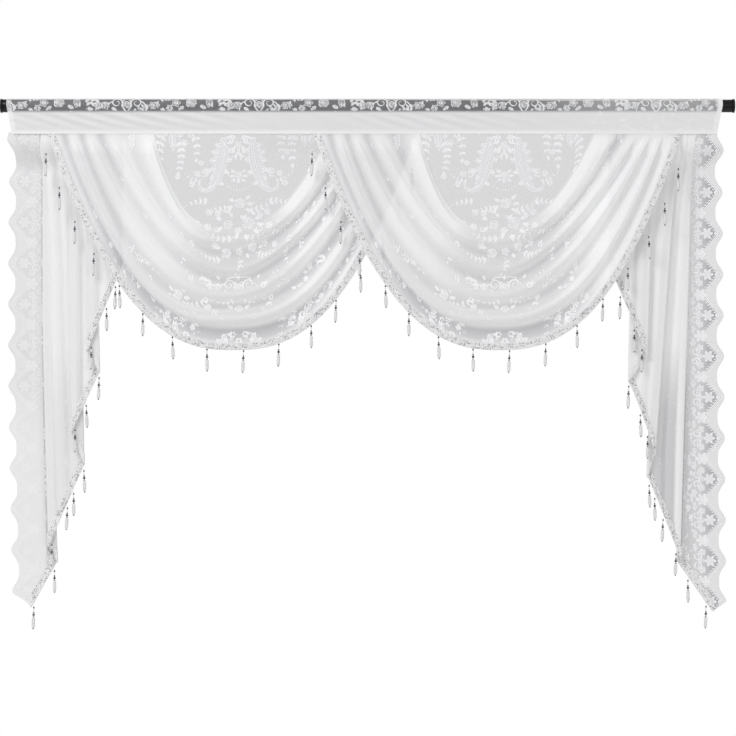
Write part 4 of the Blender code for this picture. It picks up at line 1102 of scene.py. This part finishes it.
def dropTree():
    tree, inputs = newTree("beadDrops", drops)
    materials = {key: beadMaterial(*look) for key, look in beadLooks.items()}
    beads, both = (addNode(tree, "GeometryNodeJoinGeometry") for _ in range(2))
    for shape, down, radius, half, sides, finish in dropBeads:
        if shape == "ball":
            made = outOf(tree, "GeometryNodeMeshUVSphere", {"Segments": sides, "Rings": 5, "Radius": 1.0})
            scale, lift = (radius, radius, half), -down
        else:
            made = outOf(tree, "GeometryNodeMeshCone", {
                "Vertices": sides, "Radius Top": radius[0], "Radius Bottom": radius[1], "Depth": 2 * half},
                fill_type="NGON")
            scale, lift = (1, 1, 1), -down - half
        moved = outOf(tree, "GeometryNodeTransform", {
            "Geometry": made, "Translation": (0, 0, lift), "Scale": scale})
        tree.links.new(painted(tree, moved, materials[finish]), beads.inputs[0])
    curve = outOf(tree, "GeometryNodeMeshToCurve", {"Mesh": inputs["Geometry"]})
    ring = outOf(tree, "GeometryNodeCurvePrimitiveCircle", {"Resolution": 5, "Radius": inputs["Thread"]})
    strand = outOf(tree, "GeometryNodeCurveToMesh", {"Curve": curve, "Profile Curve": ring})
    hang = outOf(tree, "GeometryNodeInputNamedAttribute", {"Name": "hang"}, data_type="FLOAT")
    chosen = outOf(tree, "FunctionNodeCompare", {0: hang, 1: 0.5}, data_type="FLOAT", operation="GREATER_THAN")
    low, high = calc(tree, "MULTIPLY", inputs["Swing"], -1.0), inputs["Swing"]
    hung = outOf(tree, "GeometryNodeInstanceOnPoints", {
        "Points": inputs["Geometry"], "Instance": beads.outputs[0], "Selection": chosen,
        "Rotation": randomTurn(tree, (low, low, 0.0), (high, high, math.tau), inputs["Seed"])})
    for part in (hung, painted(tree, strand, materials["thread"])):
        tree.links.new(part, both.inputs[0])
    real = outOf(tree, "GeometryNodeRealizeInstances", {"Geometry": both.outputs[0]})
    addNode(tree, "NodeGroupOutput", {"Geometry": real})
    return tree


def dropLines(name):  # root on the braid and top of each drop
    found = []
    if name in tailDrops:
        shape = tail["shapes"][name]
        for pleat, share in tailDrops[name]:
            hem = mix(*shape["pleats"][pleat][3:], share)
            edge = tailPoint(shape, (pleat, "face", share, hem), hem)
            found.append([edge + (0, 0, tailDrops["root"]), edge + (-shape["side"] * tailDrops["throw"], 0, 0)])
        return found
    shares = np.linspace(0, 1, 401)
    edge = hemLine(name, shares, 0)
    travelled = np.cumsum(np.linalg.norm(np.diff(edge, axis=0), axis=1))
    for number in range(swagDrops["count"]):
        step = int(np.searchsorted(travelled, swagDrops["first"] + swagDrops["pitch"] * number))
        ends = hemLine(name, np.clip([shares[step] - 0.002, shares[step] + 0.002], 0, 1), 0)
        run = (ends[1] - ends[0]) * (1, 0, 1)
        run /= np.linalg.norm(run)
        throw = math.copysign(swagDrops["throw"] * rise(abs(run[2]), *swagDrops["steep"]), run[2])
        found.append([hemLine(name, [shares[step]], swagDrops["root"])[0], edge[step] + (throw, 0, 0.0003)])
    return found


def buildDrops(name, lines, tree):
    guide = lineGuide(name + "Guide", [np.array(line) for line in lines])
    hang = np.tile([0.0, 1.0], len(lines))
    guide.data.attributes.new("hang", "FLOAT", "POINT").data.foreach_set("value", hang)
    return grown(name, guide, tree, drops)


# Seam stitches: one row of short lockstitches through the heading's band, front and back
stitches = {"Spacing": 0.0034, "Length": 0.0026, "Thickness": 0.0005}
seamLook = {"dark": "#d4d4d6", "light": "#fafafa", "grain": 900.0, "roughness": 0.5, "halfWidth": 0.755,
            "points": 40, "lift": 0.0002, "rise": 0.0062}


def stitchTree():
    material, shading, shader = newMaterial("whitePolyesterThread")
    tint = blend(shading, grain(shading, seamLook["grain"]), seamLook["dark"], seamLook["light"])
    feed(shading, shader, {"Base Color": tint, "Roughness": seamLook["roughness"]})
    tree, inputs = newTree("seamStitches", stitches)
    bead = outOf(tree, "GeometryNodeMeshUVSphere", {"Segments": 5, "Rings": 4, "Radius": 0.5})
    thick = inputs["Thickness"]
    size = outOf(tree, "ShaderNodeCombineXYZ", {"X": inputs["Length"], "Y": thick, "Z": thick})
    placed = outOf(tree, "GeometryNodeInstanceOnPoints", {
        "Points": spacedPoints(tree, inputs), "Instance": bead, "Scale": size})
    real = outOf(tree, "GeometryNodeRealizeInstances", {"Geometry": placed})
    smooth = outOf(tree, "GeometryNodeSetShadeSmooth", {"Geometry": real})
    addNode(tree, "NodeGroupOutput", {"Geometry": painted(tree, smooth, material)})
    return tree


def buildStitches():
    x = np.linspace(-seamLook["halfWidth"], seamLook["halfWidth"], seamLook["points"]) + heading["middle"]
    lines = [np.stack([x, 0 * x + side * (heading["bandHalf"] + seamLook["lift"]), 0 * x + seamHeight
                       + seamLook["rise"]], -1) for side in (-1, 1)]
    return grown("headingStitches", lineGuide("seamGuide", lines), stitchTree(), stitches)


# Rod and end caps. Each finish: material, two colours, roughness, grain in millimetres, rounded corner
finishes = {
    "rod": ("blackBakedEnamel", "#070708", "#101012", 0.28, 0.9, 0.001),
    "cap": ("blackMouldedPlastic", "#060606", "#070708", 0.42, 0.6, 0.0012),
}
rodShape = {"sides": 96, "cornerSteps": 6, "axis": 0.0002}


def rodMaterial(name, colour, other, roughness, size):
    material, tree, shader = newMaterial(name)
    flecks = grain(tree, 1000 / size)
    feed(tree, shader, {
        "Base Color": blend(tree, flecks, colour, other), "Normal": bumps(tree, flecks, 0.08, 0.0001),
        "Roughness": roughness, "Specular IOR Level": 0.3})
    return material


def bar(name, node, material, corner):  # a round bar in its CAD solid's box, with rounded ends
    low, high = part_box(node)
    radius = (high.z - low.z) / 2
    turns = np.linspace(0, math.pi / 2, rodShape["cornerSteps"] + 1)
    insets, heights = corner * (1 - np.sin(turns)), radius - corner * (1 - np.cos(turns))
    x = np.concatenate([[low.x], low.x + insets[::-1], high.x - insets, [high.x]])
    reach = np.concatenate([[rodShape["axis"]], heights[::-1], heights, [rodShape["axis"]]])[:, None]
    angles = np.linspace(0, math.tau, rodShape["sides"], endpoint=False)
    points = np.stack(np.broadcast_arrays(x[:, None], reach * np.cos(angles), reach * np.sin(angles)), -1)
    return tube(name, points, material)


def settle(piece, node=None):
    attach(piece, "root")
    if node:
        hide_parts(node)
    print(piece.name, sum(len(face.vertices) - 2 for face in piece.data.polygons), "triangles")
    return piece


skins = {key: rodMaterial(*finish[:-1]) for key, finish in finishes.items()}
for node, label, key, slot in (("rod", "blackRod", "rod", "rod_enamel"),
                               ("rod_cap_left", "leftCap", "cap", "cap_plastic"),
                               ("rod_cap_right", "rightCap", "cap", "cap_plastic")):
    settle(bar(label, node, skins[key], finishes[key][-1]), node)

laceCloth = laceMaterial("jacquardLace", False)
borderedCloth = laceMaterial("jacquardLaceWithScallops", True)
settle(buildHeading(laceCloth), "heading")
labels = {"swag_left": "leftSwag", "swag_right": "rightSwag", "tail_left": "leftTail",
          "tail_right": "rightTail"}
for name, label in labels.items():
    build, finish = (buildSwag, laceCloth) if name in swag["middles"] else (buildTail, borderedCloth)
    settle(build(name, label + "Cloth", finish), name)
print("cloth draped")

tape = braidMaterial()
sequinNodes = sequinTree(sequinMaterial())
dropNodes = dropTree()
for name, label in labels.items():
    upper, lower, faces = braidLines(name)
    ribbon, normal = ribbonPiece(label + "Braid", upper, lower, tape)
    settle(ribbon, name + "_braid")
    runs = np.split(np.arange(len(faces)), np.flatnonzero(np.diff(faces.astype(int))) + 1)
    lines = [mix(upper, lower, row)[run] + sequinLook["lift"] * normal[run]
             for row in sequinLook["rows"] for run in runs if faces[run[0]] and len(run) > 2]
    rows = grown(label + "Sequins", lineGuide(label + "Rows", lines), sequinNodes, sequins)
    settle(rows)
    hanging = buildDrops(label + "Drops", dropLines(name), dropNodes)
    settle(hanging)
print("braids, sequins and drops sewn on")

seam = buildStitches()
settle(seam)
